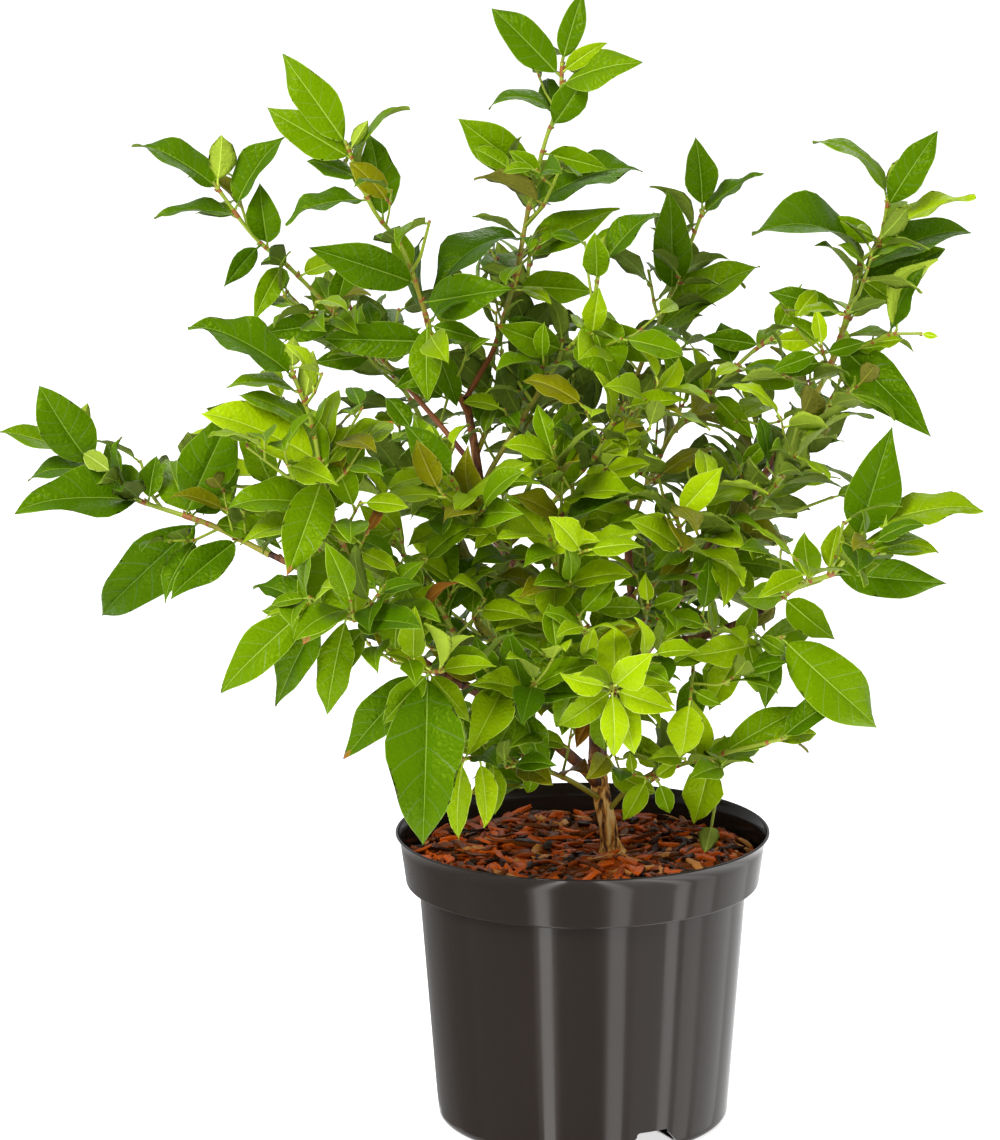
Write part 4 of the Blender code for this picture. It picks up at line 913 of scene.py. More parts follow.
def new_material(name, colour, roughness, specular):
    material = bpy.data.materials.new(name)
    material.use_nodes = True
    shader_input(material, "Base Color").default_value = colour
    shader_input(material, "Roughness").default_value = roughness
    shader_input(material, "Specular IOR Level").default_value = specular
    return material


def glowing_material(name, colour, roughness, specular, strength):
    """A material that gives off white light of this strength as well."""
    material = new_material(name, colour, roughness, specular)
    shader_input(material, "Emission Color").default_value = (1, 1, 1, 1)
    shader_input(material, "Emission Strength").default_value = strength
    return material


def add_node(material, kind, **values):
    """A node with these inputs set, where a name's _ stands for a space."""
    node = material.node_tree.nodes.new(kind)
    for name, value in values.items():
        node.inputs[name.replace("_", " ")].default_value = value
    return node


def link(material, source, target):
    material.node_tree.links.new(source, target)


def add_noise(material, scale, detail=3.0, stretch=(1, 1, 1), distortion=0.0):
    """Output of a noise in the object's own metres, stretched along the axes."""
    place = add_node(material, "ShaderNodeTexCoord")
    mapping = add_node(material, "ShaderNodeMapping", Scale=stretch)
    texture = add_node(material, "ShaderNodeTexNoise", Scale=scale, Detail=detail, Distortion=distortion)
    link(material, place.outputs["Object"], mapping.inputs["Vector"])
    link(material, mapping.outputs["Vector"], texture.inputs["Vector"])
    return texture.outputs["Fac"]


def add_bump(material, height, distance, target):
    """A bump that follows the height, this many millimetres high. Gives back its own normal input."""
    bump = add_node(material, "ShaderNodeBump", Distance=distance * MM)
    link(material, height, bump.inputs["Height"])
    link(material, bump.outputs["Normal"], target)
    return bump.inputs["Normal"]


def plant_material(name, colour, roughness, specular, grain=900, relief=0.12):
    """A plain colour with a fine uneven surface."""
    material = new_material(name, srgb(*colour), roughness, specular)
    add_bump(material, add_noise(material, grain), relief, shader_input(material, "Normal"))
    return material


def tinted_materials(prefix, tints, *surface):
    return [plant_material(prefix + name, colour, *surface) for name, colour in tints]


def leaf_material(name, colour, roughness, specular):
    """A leaf's colour with a fine net of veins, and a gloss that stays green."""
    material = new_material(name, srgb(*colour), roughness, specular)
    shader_input(material, "Specular Tint").default_value = LEAF_SHEEN
    place = add_node(material, "ShaderNodeTexCoord")
    net = add_node(material, "ShaderNodeTexVoronoi", Scale=NET_SCALE)
    net.feature = "DISTANCE_TO_EDGE"
    link(material, place.outputs["Object"], net.inputs["Vector"])
    fine = add_bump(material, add_noise(material, 260, 5.0), LEAF_RELIEF, shader_input(material, "Normal"))
    add_bump(material, net.outputs["Distance"], NET_RELIEF, fine)
    return material


def leaf_materials():
    """Top, underside, midrib and side veins of each tint, then the orange tip's two colours."""
    out = []
    for name, top, under, vein in TINTS:
        side = tuple(a + (b - a) * SIDE_VEIN_SHARE for a, b in zip(top, vein))
        out.append(leaf_material("leaf_" + name, top, LEAF_ROUGH, LEAF_SPECULAR))
        out.append(leaf_material("leaf_" + name + "_under", under, UNDER_ROUGH, UNDER_SPECULAR))
        out.append(plant_material("leaf_" + name + "_midrib", vein, MIDRIB_ROUGH, LEAF_SPECULAR))
        out.append(plant_material("leaf_" + name + "_veins", side, LEAF_ROUGH, LEAF_SPECULAR))
    return out + tinted_materials("leaf_tip_", TIP_TINTS, LEAF_ROUGH, LEAF_SPECULAR)


def mottled_material(name, stops, scale, stretch, roughness, relief, grain):
    """Colours dealt out by a stretched noise, with a bump that follows a finer one."""
    material = new_material(name, srgb(*stops[0][1]), roughness, 0.4)
    ramp = add_node(material, "ShaderNodeValToRGB")
    while len(ramp.color_ramp.elements) < len(stops):
        ramp.color_ramp.elements.new(0.5)
    for element, (position, colour) in zip(ramp.color_ramp.elements, stops):
        element.position = position
        element.color = srgb(*colour)
    link(material, add_noise(material, scale, 6.0, stretch, 0.6), ramp.inputs["Fac"])
    link(material, ramp.outputs["Color"], shader_input(material, "Base Color"))
    add_bump(material, add_noise(material, grain, 5.0, stretch), relief, shader_input(material, "Normal"))
    return material


# leaves in their own outline

class LeafForm:
    """Rows along a blade with this many pairs of side veins, and the faces between them."""

    def __init__(self, pairs):
        veins = np.linspace(VEIN_FIRST, VEIN_LAST, pairs)
        rows, raised, strips = list(BASE_ROWS), [0] * len(BASE_ROWS), []
        for k, vein in enumerate(veins):
            strips.append(len(rows))
            rows += [vein - VEIN_HALF, vein + VEIN_HALF]
            raised += [0, 0]
            if k + 1 < pairs:
                rows.append((vein + veins[k + 1]) / 2)
                raised.append(1)
        rows += TIP_ROWS
        raised += TIP_RAISED
        self.rows, self.raised = np.array(rows), np.array(raised)
        count, top, low = len(rows), len(COLUMNS), len(UNDER_COLUMNS)

        def below(i):
            """A row of the underside, which shares its two outer points with the top."""
            first = count * top + i * low
            return [i * top, *range(first, first + low), i * top + top - 1]

        quads, kinds, ends = [], [], []
        for i in range(count - 1):
            for j in range(top - 1):
                a = i * top + j
                quads.append((a, a + 1, a + top + 1, a + top))
                kinds.append(VEIN if j in RIB_FACES else SIDE_VEIN if i in strips else TOP)
                ends.append(2 if rows[i] > TIP_FROM else int(rows[i] > TIP_SOFT_FROM))
            near, far = below(i), below(i + 1)
            for j in range(low + 1):
                quads.append((near[j], far[j], far[j + 1], near[j + 1]))
                kinds.append(VEIN if j == low // 2 else UNDER)
                ends.append(0)
        base = count * (top + low)
        last = (count - 1) * top
        tris, tri_kinds = [], []
        for j in range(top - 1):
            tris += [(base, j + 1, j), (base + 1, last + j, last + j + 1)]
            tri_kinds += [TOP, TOP]
        near, far = below(0), below(count - 1)
        for j in range(low + 1):
            tris += [(base, near[j], near[j + 1]), (base + 1, far[j + 1], far[j])]
            tri_kinds += [UNDER, UNDER]
        self.quads, self.kinds, self.ends = np.array(quads), np.array(kinds), np.array(ends)
        self.tris, self.tri_kinds = np.array(tris), np.array(tri_kinds)


def arc_grid(leaf, u, y, lift, tip_turn=0.0):
    """The same arched leaf as the rule's, for arrays of places, its tip turned a little more."""
    bend = leaf["arch"]
    angle = bend / 2 - bend * u
    run = leaf["length"] / bend
    along = run * (math.sin(bend / 2) - np.sin(angle))
    rise = run * (np.cos(angle) - math.cos(bend / 2))
    root, ahead, up, side = (np.array(leaf[key]) for key in ("root", "dir", "normal", "side"))
    normal = np.cos(angle)[..., None] * up - np.sin(angle)[..., None] * ahead
    turn = (leaf["twist"] * u + tip_turn * u ** 3)[..., None]
    sideways = side * np.cos(turn) + normal * np.sin(turn)
    normal = normal * np.cos(turn) - side * np.sin(turn)
    return (root + along[..., None] * ahead + rise[..., None] * up
            + sideways * y[..., None] + normal * lift[..., None])


def blade_outline(b, taper):
    """Half width of the blade over its greatest half width, drawn out to the tip by the taper."""
    widest = OUTLINE_BASE / (OUTLINE_BASE + taper)
    most = widest ** OUTLINE_BASE * (1 - widest) ** taper
    return np.power(b, OUTLINE_BASE) * np.power(1 - b, taper) / most


def fine_leaf(pile, leaf, forms, rng, shift):
    """One leaf with folded, waved blade, quilted between its side veins, and its petiole."""
    length, half = leaf["length"], leaf["width"] / 2 * NARROW
    form = next(form for longest, form in forms if length < longest)
    stalk = min(PETIOLE_MOST, PETIOLE * rng.uniform(0.8, 1.3) / length)
    fold = YOUNG_FOLD if "u" in leaf["marks"] else leaf["fold"] * FOLD_MORE
    cup = rng.uniform(*CUP)
    grown = min(1.0, length / GROWN_LENGTH)
    wave, beats = rng.uniform(*WAVE) * grown, rng.uniform(*BEATS)
    phases = rng.uniform(0, 1), rng.uniform(0, 1)
    taper = rng.uniform(*OUTLINE_TIP)
    skew, droop = rng.uniform(-SKEW, SKEW), rng.uniform(0.0, DROOP_MOST) / max(length, GROWN_LENGTH)
    sway = rng.uniform(-SKEW, SKEW) * length
    tip_turn = rng.uniform(-TIP_TURN, TIP_TURN) * (1.3 - grown * 0.8)
    quilt = QUILT * length * rng.uniform(0.7, 1.3)

    def sheet(columns, lower):
        columns = np.array(columns)[None, :]
        share, sign = np.abs(columns), np.sign(columns)
        row = form.rows[:, None]
        thinner = 1 - 0.7 * row
        b = row + SWEEP * np.sin(math.pi * row) * share
        phase = np.where(sign < 0, phases[0], phases[1])
        ripple = np.sin(2 * math.pi * (beats * b + phase))
        wide = half * blade_outline(b, taper) * (1 + skew * sign + RIPPLE * grown * ripple)
        reach = np.where(share == NEAR_RIB, np.minimum(MIDRIB * thinner, 0.16 * wide), share * wide)
        reach = np.where(share == NEAR_RIM, wide - np.minimum(RIM, 0.14 * wide), reach)
        across_it = reach / np.maximum(wide, 1e-6)
        lift = fold * reach + cup * reach * across_it * 0.5
        lift += wave * half * across_it ** 2 * np.sin(2 * math.pi * (beats * b + phase + 0.25))
        lift += form.raised[:, None] * quilt * np.sin(math.pi * across_it)
        lift -= droop * length * np.clip((b - DROOP_FROM) / (1 - DROOP_FROM), 0, 1) ** 2
        if lower:
            lift -= THICK
            lift -= np.where(share == NEAR_RIB, RIB_DEEP * thinner, 0)
        else:
            lift -= np.where(share == 0, GROOVE * thinner, 0)
        return arc_grid(leaf, stalk + (1 - stalk) * b, sign * reach + sway * b * b, lift, tip_turn)

    ends = arc_grid(leaf, np.array([stalk, 1.0]), np.array([0, sway]),
                    np.array([0, -droop * length - THICK / 2]), tip_turn)
    blade = [sheet(COLUMNS, False).reshape(-1, 3), sheet(UNDER_COLUMNS, True).reshape(-1, 3), ends]
    first = KINDS * leaf["tint"]
    kinds = form.kinds + first
    if leaf["tipped"]:
        kinds = np.where(form.ends == 2, TIP, np.where(form.ends == 1, TIP + 1, kinds))
    pile.add(np.concatenate(blade), form.quads, kinds, form.tris, form.tri_kinds + first)

    u = np.linspace(0, stalk * 1.2, PETIOLE_RINGS)
    radius = np.linspace(PETIOLE_LOW_R, PETIOLE_TOP_R, PETIOLE_RINGS)[:, None]
    turn = turns(PETIOLE_SIDES)[None, :]
    down = np.clip(u / stalk, 0, 1)[:, None]
    stem = arc_grid(leaf, np.repeat(u[:, None], PETIOLE_SIDES, 1), radius * np.cos(turn),
                    radius * np.sin(turn) - PETIOLE_SINK * down)
    stem += (1 - down)[:, :, None] ** 2 * np.array(shift)
    pile.add(stem, ring_faces(PETIOLE_RINGS, PETIOLE_SIDES), first + VEIN)


# what shows from the front

def sky_at(column, row, share):
    """True where a place of the photo's frame lies in a gap of sky, taken this much narrower."""
    found = np.zeros(column.shape, bool)
    for x, y, radius in SKY:
        found |= np.hypot(column - x, row - y) <= radius * share
    return found


class Cover:
    """What the solids hide, seen from the front, so that nothing finer shows where sky should."""

    def __init__(self):
        self.grid = np.zeros((COVER_ROWS, COVER_COLUMNS), bool)

    def seen(self, points):
        """Column and row of points, in the photo's frame."""
        away = np.array([tuple(p) for p in points]) * MM - np.array(CAMERA_AT)
        right, up, ahead = (np.array(v) for v in camera_axes())
        deep = away @ ahead
        return (PHOTO_W / 2 + FOCAL_PX * (away @ right) / deep,
                PHOTO_H / 2 - FOCAL_PX * (away @ up) / deep)

    def cells(self, points):
        """Column and row of points, in the grid."""
        return [(place + COVER_MARGIN) / COVER_CELL for place in self.seen(points)]

    def fill(self, points, faces):
        column, row = self.cells(points)
        for face in faces:
            for a, b in zip(face[1:-1], face[2:]):
                self.fill_triangle(column[[face[0], a, b]], row[[face[0], a, b]])

    def fill_triangle(self, x, y):
        x0, x1 = int(max(0, x.min())), int(min(COVER_COLUMNS - 1, x.max() + 1))
        y0, y1 = int(max(0, y.min())), int(min(COVER_ROWS - 1, y.max() + 1))
        area = (x[1] - x[0]) * (y[2] - y[0]) - (x[2] - x[0]) * (y[1] - y[0])
        if x0 > x1 or y0 > y1 or abs(area) < 1e-9:
            return
        px, py = np.meshgrid(np.arange(x0, x1 + 1), np.arange(y0, y1 + 1))
        inside = np.ones(px.shape, bool)
        for i in range(3):
            j = (i + 1) % 3
            edge = (x[j] - x[i]) * (py - y[i]) - (y[j] - y[i]) * (px - x[i])
            inside &= edge * area >= -abs(area) * COVER_SLACK
        self.grid[y0:y1 + 1, x0:x1 + 1] |= inside

    def close_inside(self):
        """Counts the whole inner crown as covered, but for the sky between its leaves."""
        column, row = np.meshgrid(np.arange(COVER_COLUMNS), np.arange(COVER_ROWS))
        column, row = column * COVER_CELL - COVER_MARGIN, row * COVER_CELL - COVER_MARGIN
        middle_x, middle_y, half_w, half_h = INNER
        self.grid |= ((column - middle_x) / half_w) ** 2 + ((row - middle_y) / half_h) ** 2 < 1
        self.grid &= ~sky_at(column, row, SKY_OPEN)

    def in_sky(self, leaf):
        """True where much of the leaf would stand against open sky."""
        return sky_at(*self.seen(leaf_points(leaf, LEAF_PLACES)), 1).mean() > SKY_SHARE

    def share(self, points):
        """Share of the points that lie in front of or behind something solid."""
        column, row = self.cells(points)
        column = np.clip(column.astype(int), 0, COVER_COLUMNS - 1)
        row = np.clip(row.astype(int), 0, COVER_ROWS - 1)
        return self.grid[row, column].mean()


# growth past the solids: twiglets and small leaves

def settle_small(leaf, age, name, space, cover, leaves, least):
    """Adds a small leaf of this age where it touches nothing and opens no new outline."""
    leaf["age"] = age
    for _, other in zip(range(SMALL_TRIES), variants(leaf)):
        if cover.share(leaf_points(other, LEAF_PLACES)) < least or cover.in_sky(other):
            continue
        solid = leaf_solid(other)
        if space.hit(solid, name, ("limb", "twig", "leaf"), ("limb", "twig", "leaf")):
            continue
        space.add(solid, name, "leaf")
        leaves.append(other)
        return


def trimmed(path, leaves):
    """The path cut off a little past its outermost leaf."""
    line = even_path(path, 1.0)
    last = 0
    for leaf in leaves:
        apart = [(leaf["root"] - p).length for p in line]
        nearest = apart.index(min(apart))
        if apart[nearest] < ROOT_NEAR:
            last = max(last, nearest)
    return line[:max(4, last + 2)]


def finer_growth(plant, space, cover):
    """Twiglets between the rule's own twigs and leaves, each with small leaves, then spare leaves."""
    rng = random.Random(plant["seed"] + 900)
    name, hosts = plant["name"], (plant["path"], *plant["twigs"])
    twiglets, leaves, spots = [], [], []
    azimuth = rng.uniform(0, 2 * math.pi)
    for host in hosts:
        total = lengths_along(host)[-1]
        count = int(total / TWIGLET_STEP)
        for k in range(count):
            spots.append((host, total * (0.1 + 0.8 * (k + rng.uniform(0, 0.6)) / count)))
    for host, distance in spots:
        azimuth += GOLDEN
        place, tangent = point_at(host, distance)
        for attempt in range(TWIGLET_TRIES):
            reach = rng.uniform(*TWIGLET_REACH)
            bend = bent_twig(place, tangent, azimuth, TWIGLET_WEIGHTS, reach)
            free = off_host(bend, 0.3)
            shape = tube(free, tapered(free, TWIGLET_R, TWIGLET_TIP_R), TWIG_SIDES)
            azimuth += TRY_TURN
            if cover.share(bend[1:]) < 1 or space.hit(shape, name, ("limb", "twig"), ("limb", "twig")):
                continue
            grown = []
            count = max(3, int(reach / SMALL_STEP))
            turn = rng.uniform(0, 2 * math.pi)
            for k in range(count):
                turn += GOLDEN
                spot, along = point_at(bend, reach * (1 - 0.75 * k / count) - 0.4)
                length = plant["size"] * rng.uniform(*SMALL_SIZE) * (0.8 + 0.3 * k / count)
                leaf = rule_leaf(rng, spot, along, turn, length)
                settle_small(leaf, TWIGLET_AGE, name, space, cover, grown, LEAST_COVER)
            if len(grown) > 1:
                twiglets.append(trimmed(bend, grown))
                space.add(shape, name, "twig")
                leaves += grown
            break
    for host in hosts:
        total = lengths_along(host)[-1]
        azimuth += 1.0
        for k in range(int(total / SPARE_STEP)):
            azimuth += GOLDEN
            spot, along = point_at(host, total - SPARE_STEP * (k + 0.5))
            leaf = rule_leaf(rng, spot, along, azimuth, plant["size"] * rng.uniform(*SMALL_SIZE))
            settle_small(leaf, k * SPARE_STEP / total, name, space, cover, leaves, LEAST_COVER)
    return twiglets, leaves


def young_leaves(plant, lines, space, cover):
    """Small folded leaves that stand up at the tips."""
    rng = random.Random(plant["seed"] + 1300)
    found = []
    for line in lines:
        tangent = end_way(line)
        turn = rng.uniform(0, 2 * math.pi)
        for k in range(YOUNG_LEAVES):
            turn += GOLDEN
            round_it = round_way(tangent, turn)
            direction = tangent + round_it * rng.uniform(0.25, 0.6)
            length = rng.uniform(*YOUNG_LENGTH)
            leaf = make_leaf(line[-1] - tangent * (0.8 * k + 0.4), direction, -round_it + UP * 0.2,
                             length, length * rng.uniform(0.34, 0.44), rng.uniform(0.2, 0.5),
                             rng.uniform(0.4, 0.7), rng.uniform(-0.3, 0.3), "y")
            settle_small(leaf, 0.0, plant["name"], space, cover, found, LEAST_COVER_YOUNG)
    return found


def deal_tints(plant):
    """A tint for each leaf from its marks, its age, its shoot's lightness (partly painted light and shade)
    and painted shade for how deep in the crown and how far back it stands.
    """
    rng = random.Random(plant["seed"] + 1700)
    path = plant["path"]
    total = lengths_along(path)[-1]
    for leaf in plant["leaves"]:
        marks = leaf["marks"]
        age = leaf.get("age", min(1.0, (leaf["root"] - path[-1]).length / total))
        middle = arc_point(leaf, 0.5)
        # painted shade: leaves deep in the crown and towards the back are dealt darker tints
        deep = max(0.0, 1 - (middle - CROWN_AXIS).length / DEEP_WITHIN) + max(0.0, middle.y / DEEP_BEHIND)
        # the shoot's lightness is partly the leaves' own colour and partly painted light and shade for how
        # brightly its part of the crown is lit
        level = (plant["tone"] + (EVEN_AGE - age) * AGE_SHADE + rng.gauss(0, TINT_SPREAD)
                 - PAINTED_DEPTH_SHADE * deep)
        draw = rng.random()
        if "d" in marks:
            tint = DEEP
        elif "y" in marks:
            tint = LIME
        elif "u" in marks:
            tint = PALE
        elif draw < OLIVE_SHARE and not leaf["full"]:
            tint = OLIVE
        else:
            tint = min(LIME, max(DEEP, round(level)))
        leaf["tint"] = tint
        leaf["tipped"] = "r" in marks and rng.random() < TIPPED_SHARE


def deal_accents(plants, cover):
    """Tints of the leaves that stand out, each given to the nearest leaf that shows there."""
    eye = Vector(CAMERA_AT) / MM
    leaves = [leaf for plant in plants for leaf in plant["leaves"]]
    middles = [arc_point(leaf, 0.55) for leaf in leaves]
    column, row = cover.seen(middles)
    for x, y, tint in ACCENTS:
        away = np.hypot(column - x, row - y)
        shown = [i for i in np.nonzero(away < ACCENT_REACH)[0] if leaves[i]["length"] > ACCENT_LEAST]
        if shown:
            best = min(shown, key=lambda i: (middles[i] - eye).length + away[i] * 2)
            leaves[best]["tint"] = tint


# stems, twigs and buds

def stem_kinds(path, tip_age, nodes, sides):
    """Tint of each face along a stem: green at the tip, russet lower down, red at the nodes."""
    total = lengths_along(path)
    rng = random.Random(len(path))
    kinds = []
    for at in total[:-1]:
        age = total[-1] - at + tip_age + rng.uniform(-6, 6)
        near = min((abs(at - node) for node in nodes), default=99)
        kinds += [NODE_TINT if near < NODE_RED else sum(age < limit for limit in STEM_AGES)] * sides
    return np.array(kinds)


def add_stem(pile, path, form, roots):
    """A smooth stem that swells a little at its nodes and narrows to a small open end. Gives back its line.
    """
    low, top, tip_age, sides = form
    steps = even_path(path, 2.0)
    carried = [root for root in roots if min((root - p).length for p in steps) < ROOT_NEAR]
    line = even_path(smooth_path(path, 8) if len(path) < 12 else path, STEM_STEP)
    total = lengths_along(line)
    nodes = [total[nearest_on(line, root)] for root in carried]
    radii = []
    for at in total:
        radius = low + (top - low) * at / total[-1]
        swell = sum(math.exp(-((at - node) / NODE_LONG) ** 2) for node in nodes)
        radii.append(radius * (1 + NODE_SWELL * min(1.0, swell)))
    rings = [*line, line[-1] + end_way(line) * top * 0.7]
    radii.append(top * 0.3)
    add_tube(pile, rings, radii, sides, stem_kinds(rings, tip_age, nodes, sides))
    return line


def add_bud(pile, place, direction, length, radius, kind):
    """A small pointed bud."""
    path = [place + direction * (length * at) for at, share in BUD_SHAPE]
    add_tube(pile, path, [radius * share for at, share in BUD_SHAPE], BUD_SIDES, kind)


# bark

def limb_radii(name, path, root, tip, share):
    """Radii along a limb, with the flare at the trunk's foot."""
    radii = np.array(tapered(path, root, tip)) * share
    if name == "trunk":
        height = np.array([p.z for p in path])
        radii += TRUNK_FLARE * np.clip(1 - (height - SOIL_TOP) / FLARE_H, 0, 1) ** 1.6
    return radii


def add_limb(pile, name, points, root, tip, sides, step, relief, seed):
    """A limb with bark that stands out in upright flakes."""
    line = even_path(smooth_path(points, 12), step)
    total = lengths_along(line)
    radii = limb_radii(name, line, root, tip, ROUND_SHARE)
    rings = tube_points(line, radii, sides)
    out = rings - np.array(line)[:, None, :]
    out /= np.linalg.norm(out, axis=2, keepdims=True)
    lift = np.zeros(rings.shape[:2])
    for i, k in np.ndindex(lift.shape):
        flat = out[i, k] * radii[i]
        at = Vector((flat[0] * 0.75, flat[1] * 0.75, total[i] * 0.13 + seed))
        fine = Vector((flat[0] * 1.9, flat[1] * 1.9, total[i] * 0.5 + seed))
        crack = 1 - min(1.0, abs(noise.noise(at * 1.7 + CRACK_SHIFT)) / 0.1)
        lift[i, k] = relief * (0.9 * noise.noise(at) + 0.35 * noise.noise(fine) - 0.55 * crack)
    rings = rings + out * lift[:, :, None]
    cap = rings[-1].mean(axis=0) + np.array(line[-1] - line[-2]) * 0.3
    count = len(line) * sides
    ends = [(count - sides + (k + 1) % sides, count - sides + k, count) for k in range(sides)]
    pile.add(np.concatenate([rings.reshape(-1, 3), cap[None]]), ring_faces(len(line), sides), tris=ends)


def build_bark():
    """Trunk and boughs."""
    trunk, boughs = Pile(), Pile()
    for k, (name, root, tip, points) in enumerate(LIMBS):
        if name == "trunk":
            add_limb(trunk, name, points, root, tip, *TRUNK_BARK, 3.0)
        else:
            add_limb(boughs, name, points, root, tip, *BOUGH_BARK, 11.0 * k)
    dress(trunk.build("trunk_bark", [mottled_material("bark_trunk", *TRUNK_LOOK)]), "bark", "trunk")
    names = [name for name, *rest in LIMBS if name != "trunk"]
    dress(boughs.build("bough_bark", [mottled_material("bark_bough", *BOUGH_LOOK)]), "bark", *names)


# pot

def inner_radius(z):
    """Radius of the pot's inside above its floor."""
    slope = (BODY_TOP_R - FOOT_R) / (LIP_LOW_Z - LIP_SHELF - FOOT_ROUND)
    if z < LIP_LOW_Z:
        return FOOT_R - WALL + slope * (z - FOOT_ROUND)
    lip = (LIP_TOP_R - LIP_LOW_R) / (RIM_TOP - FLARE_TALL - LIP_LOW_Z)
    return LIP_LOW_R - LIP_WALL + lip * (z - LIP_LOW_Z)


def inside_at(z, gap=0.0):
    """Place on the pot's inside at this height, or this far off it."""
    return inner_radius(z) - gap, z


def arc_between(centre, radius, start, end, steps):
    """Points of a profile on an arc, angles in degrees from straight out."""
    out = []
    for k in range(steps + 1):
        angle = math.radians(start + (end - start) * k / steps)
        out.append((centre[0] + radius * math.cos(angle), centre[1] + radius * math.sin(angle)))
    return out


def straight(start, end, steps):
    return [(start[0] + (end[0] - start[0]) * k / steps, start[1] + (end[1] - start[1]) * k / steps)
            for k in range(1, steps)]


def pot_profile():
    """Half section of the pot from the middle of its underside round to the middle of its floor."""
    low, top = LIP_LOW_Z, RIM_TOP
    foot = arc_between((FOOT_R - FOOT_ROUND, FOOT_ROUND), FOOT_ROUND, -90, 0, 8)
    under_lip = (BODY_TOP_R, low - LIP_SHELF)
    lip_foot = arc_between((LIP_LOW_R - LIP_ROUND, low + 0.8), LIP_ROUND, -80, 0, 5)
    flare = [(LIP_TOP_R + (RIM_R - LIP_TOP_R) * (k / FLARE_STEPS) ** 2,
              top - FLARE_TALL + (FLARE_TALL - EDGE_R) * k / FLARE_STEPS) for k in range(FLARE_STEPS + 1)]
    inner = [(r - LIP_WALL, z) for r, z in reversed(flare)]
    lip_inside = (inner_radius(low + 2), low + LIP_SHELF)
    step = inside_at(low - STEP_UNDER)
    wall_foot = inside_at(FLOOR_TOP + FLOOR_ROUND)
    return [
        (0, 0), (FLAT_R, 0), (CHANNEL_IN - 2, 0), (CHANNEL_IN, CHANNEL_UP),
        (CHANNEL_OUT, CHANNEL_UP), (CHANNEL_OUT + 2, 0),
        *foot, *straight(foot[-1], under_lip, 12),
        under_lip, (BODY_TOP_R + 1.6, low - 1.3),
        *lip_foot, *straight(lip_foot[-1], flare[0], 5),
        *flare, *arc_between((RIM_R - EDGE_R, top - EDGE_R), EDGE_R, 15, 165, 8),
        *inner, *straight(inner[-1], lip_inside, 4),
        lip_inside, step, *straight(step, wall_foot, 8),
        *arc_between((wall_foot[0] - FLOOR_ROUND, wall_foot[1]), FLOOR_ROUND, 0, -90, 5),
        (FLAT_R, FLOOR_TOP), (0, FLOOR_TOP),
    ]


def notch_cutter(angle):
    """A wedge with rounded top corners that cuts one drain notch."""
    out = Vector((math.sin(angle), -math.cos(angle), 0))
    side = Vector((math.cos(angle), math.sin(angle), 0))
    low, high, corner = NOTCH_LOW_W / 2, NOTCH_TOP_W / 2, NOTCH_ROUND
    right = [(low + 0.9, -2), (low, 0)]
    for k in range(5):
        turn = math.radians(-20 + 110 * k / 4)
        right.append((high - corner + corner * math.cos(turn) * 1.1,
                      NOTCH_H - corner + corner * math.sin(turn)))
    section = right + [(-x, z) for x, z in reversed(right)]
    count = len(section)
    points = [(out * deep + side * x + UP * z) * MM for deep in (FOOT_R - NOTCH_DEEP, FOOT_R + 6)
              for x, z in section]
    faces = [tuple(reversed(range(count))), tuple(range(count, 2 * count))]
    faces += [(k, (k + 1) % count, count + (k + 1) % count, count + k) for k in range(count)]
    return flat_object("notch", points, faces)


def apply_modifiers(obj):
    graph = bpy.context.evaluated_depsgraph_get()
    result = bpy.data.meshes.new_from_object(obj.evaluated_get(graph))
    old = obj.data
    obj.modifiers.clear()
    obj.data = result
    result.name = old.name
    bpy.data.meshes.remove(old)


def pot_material():
    """Dark warm grey plastic, a little glossy, with faint upright flow marks."""
    low, high = POT_ROUGH
    material = new_material("pot_plastic", srgb(*POT_COLOUR), high, POT_SPECULAR)
    rough = add_node(material, "ShaderNodeMapRange", From_Min=0.3, From_Max=0.7, To_Min=low, To_Max=high)
    link(material, add_noise(material, 60, 4.0, (1, 1, 0.12)), rough.inputs["Value"])
    link(material, rough.outputs["Result"], shader_input(material, "Roughness"))
    add_bump(material, add_noise(material, 35, 3.0, (1, 1, 0.2)), 0.08, shader_input(material, "Normal"))
    return material


def build_pot():
    """The turned pot with its three notches cut."""
    material = pot_material()
    pile = Pile()
    points, quads, tris = turned(pot_profile(), POT_STEPS)
    pile.add(points, quads, tris=tris)
    pot = pile.build("pot_turned", [material])
    cutters = [notch_cutter(NOTCH_ANGLE + 2 * math.pi * k / NOTCHES) for k in range(NOTCHES)]
    for cutter in cutters:
        cut = pot.modifiers.new("notch", "BOOLEAN")
        cut.operation = "DIFFERENCE"
        cut.solver = "EXACT"
        cut.object = cutter
    bpy.context.view_layer.update()
    apply_modifiers(pot)
    for cutter in cutters:
        mesh = cutter.data
        bpy.data.objects.remove(cutter)
        bpy.data.meshes.remove(mesh)
    pot.data.materials.clear()
    pot.data.materials.append(material)
    pot.data.shade_smooth()
    pot.data.set_sharp_from_angle(angle=POT_SHARP)
    dress(pot, "pot", "pot")


# bark mulch and compost

def build_soil():
    """The compost under the bark, filling the pot."""
    step = LIP_LOW_Z - STEP_UNDER
    levels = [inside_at(SOIL_FOOT, 4), inside_at(SOIL_FOOT + 4, SOIL_GAP), inside_at(step, SOIL_GAP),
              (inner_radius(LIP_LOW_Z + 2) - SOIL_GAP, LIP_LOW_Z + 2.2)]
    top_r = inner_radius(MULCH_FLOOR) - 0.6
    levels += [(top_r * (1 - k / SOIL_RINGS), MULCH_FLOOR) for k in range(SOIL_RINGS)]
    points, quads, tris = turned([(0, SOIL_FOOT), *levels, (0, MULCH_FLOOR)], SOIL_STEPS)
    for point in points[5 * SOIL_STEPS:len(levels) * SOIL_STEPS]:
        point[2] += 1.6 * noise.noise(Vector(point) * 0.12)
    pile = Pile()
    pile.add(points, quads, tris=tris)
    material = mottled_material("compost_dark", *COMPOST_LOOK)
    dress(pile.build("compost_fill", [material]), "compost", "compost")


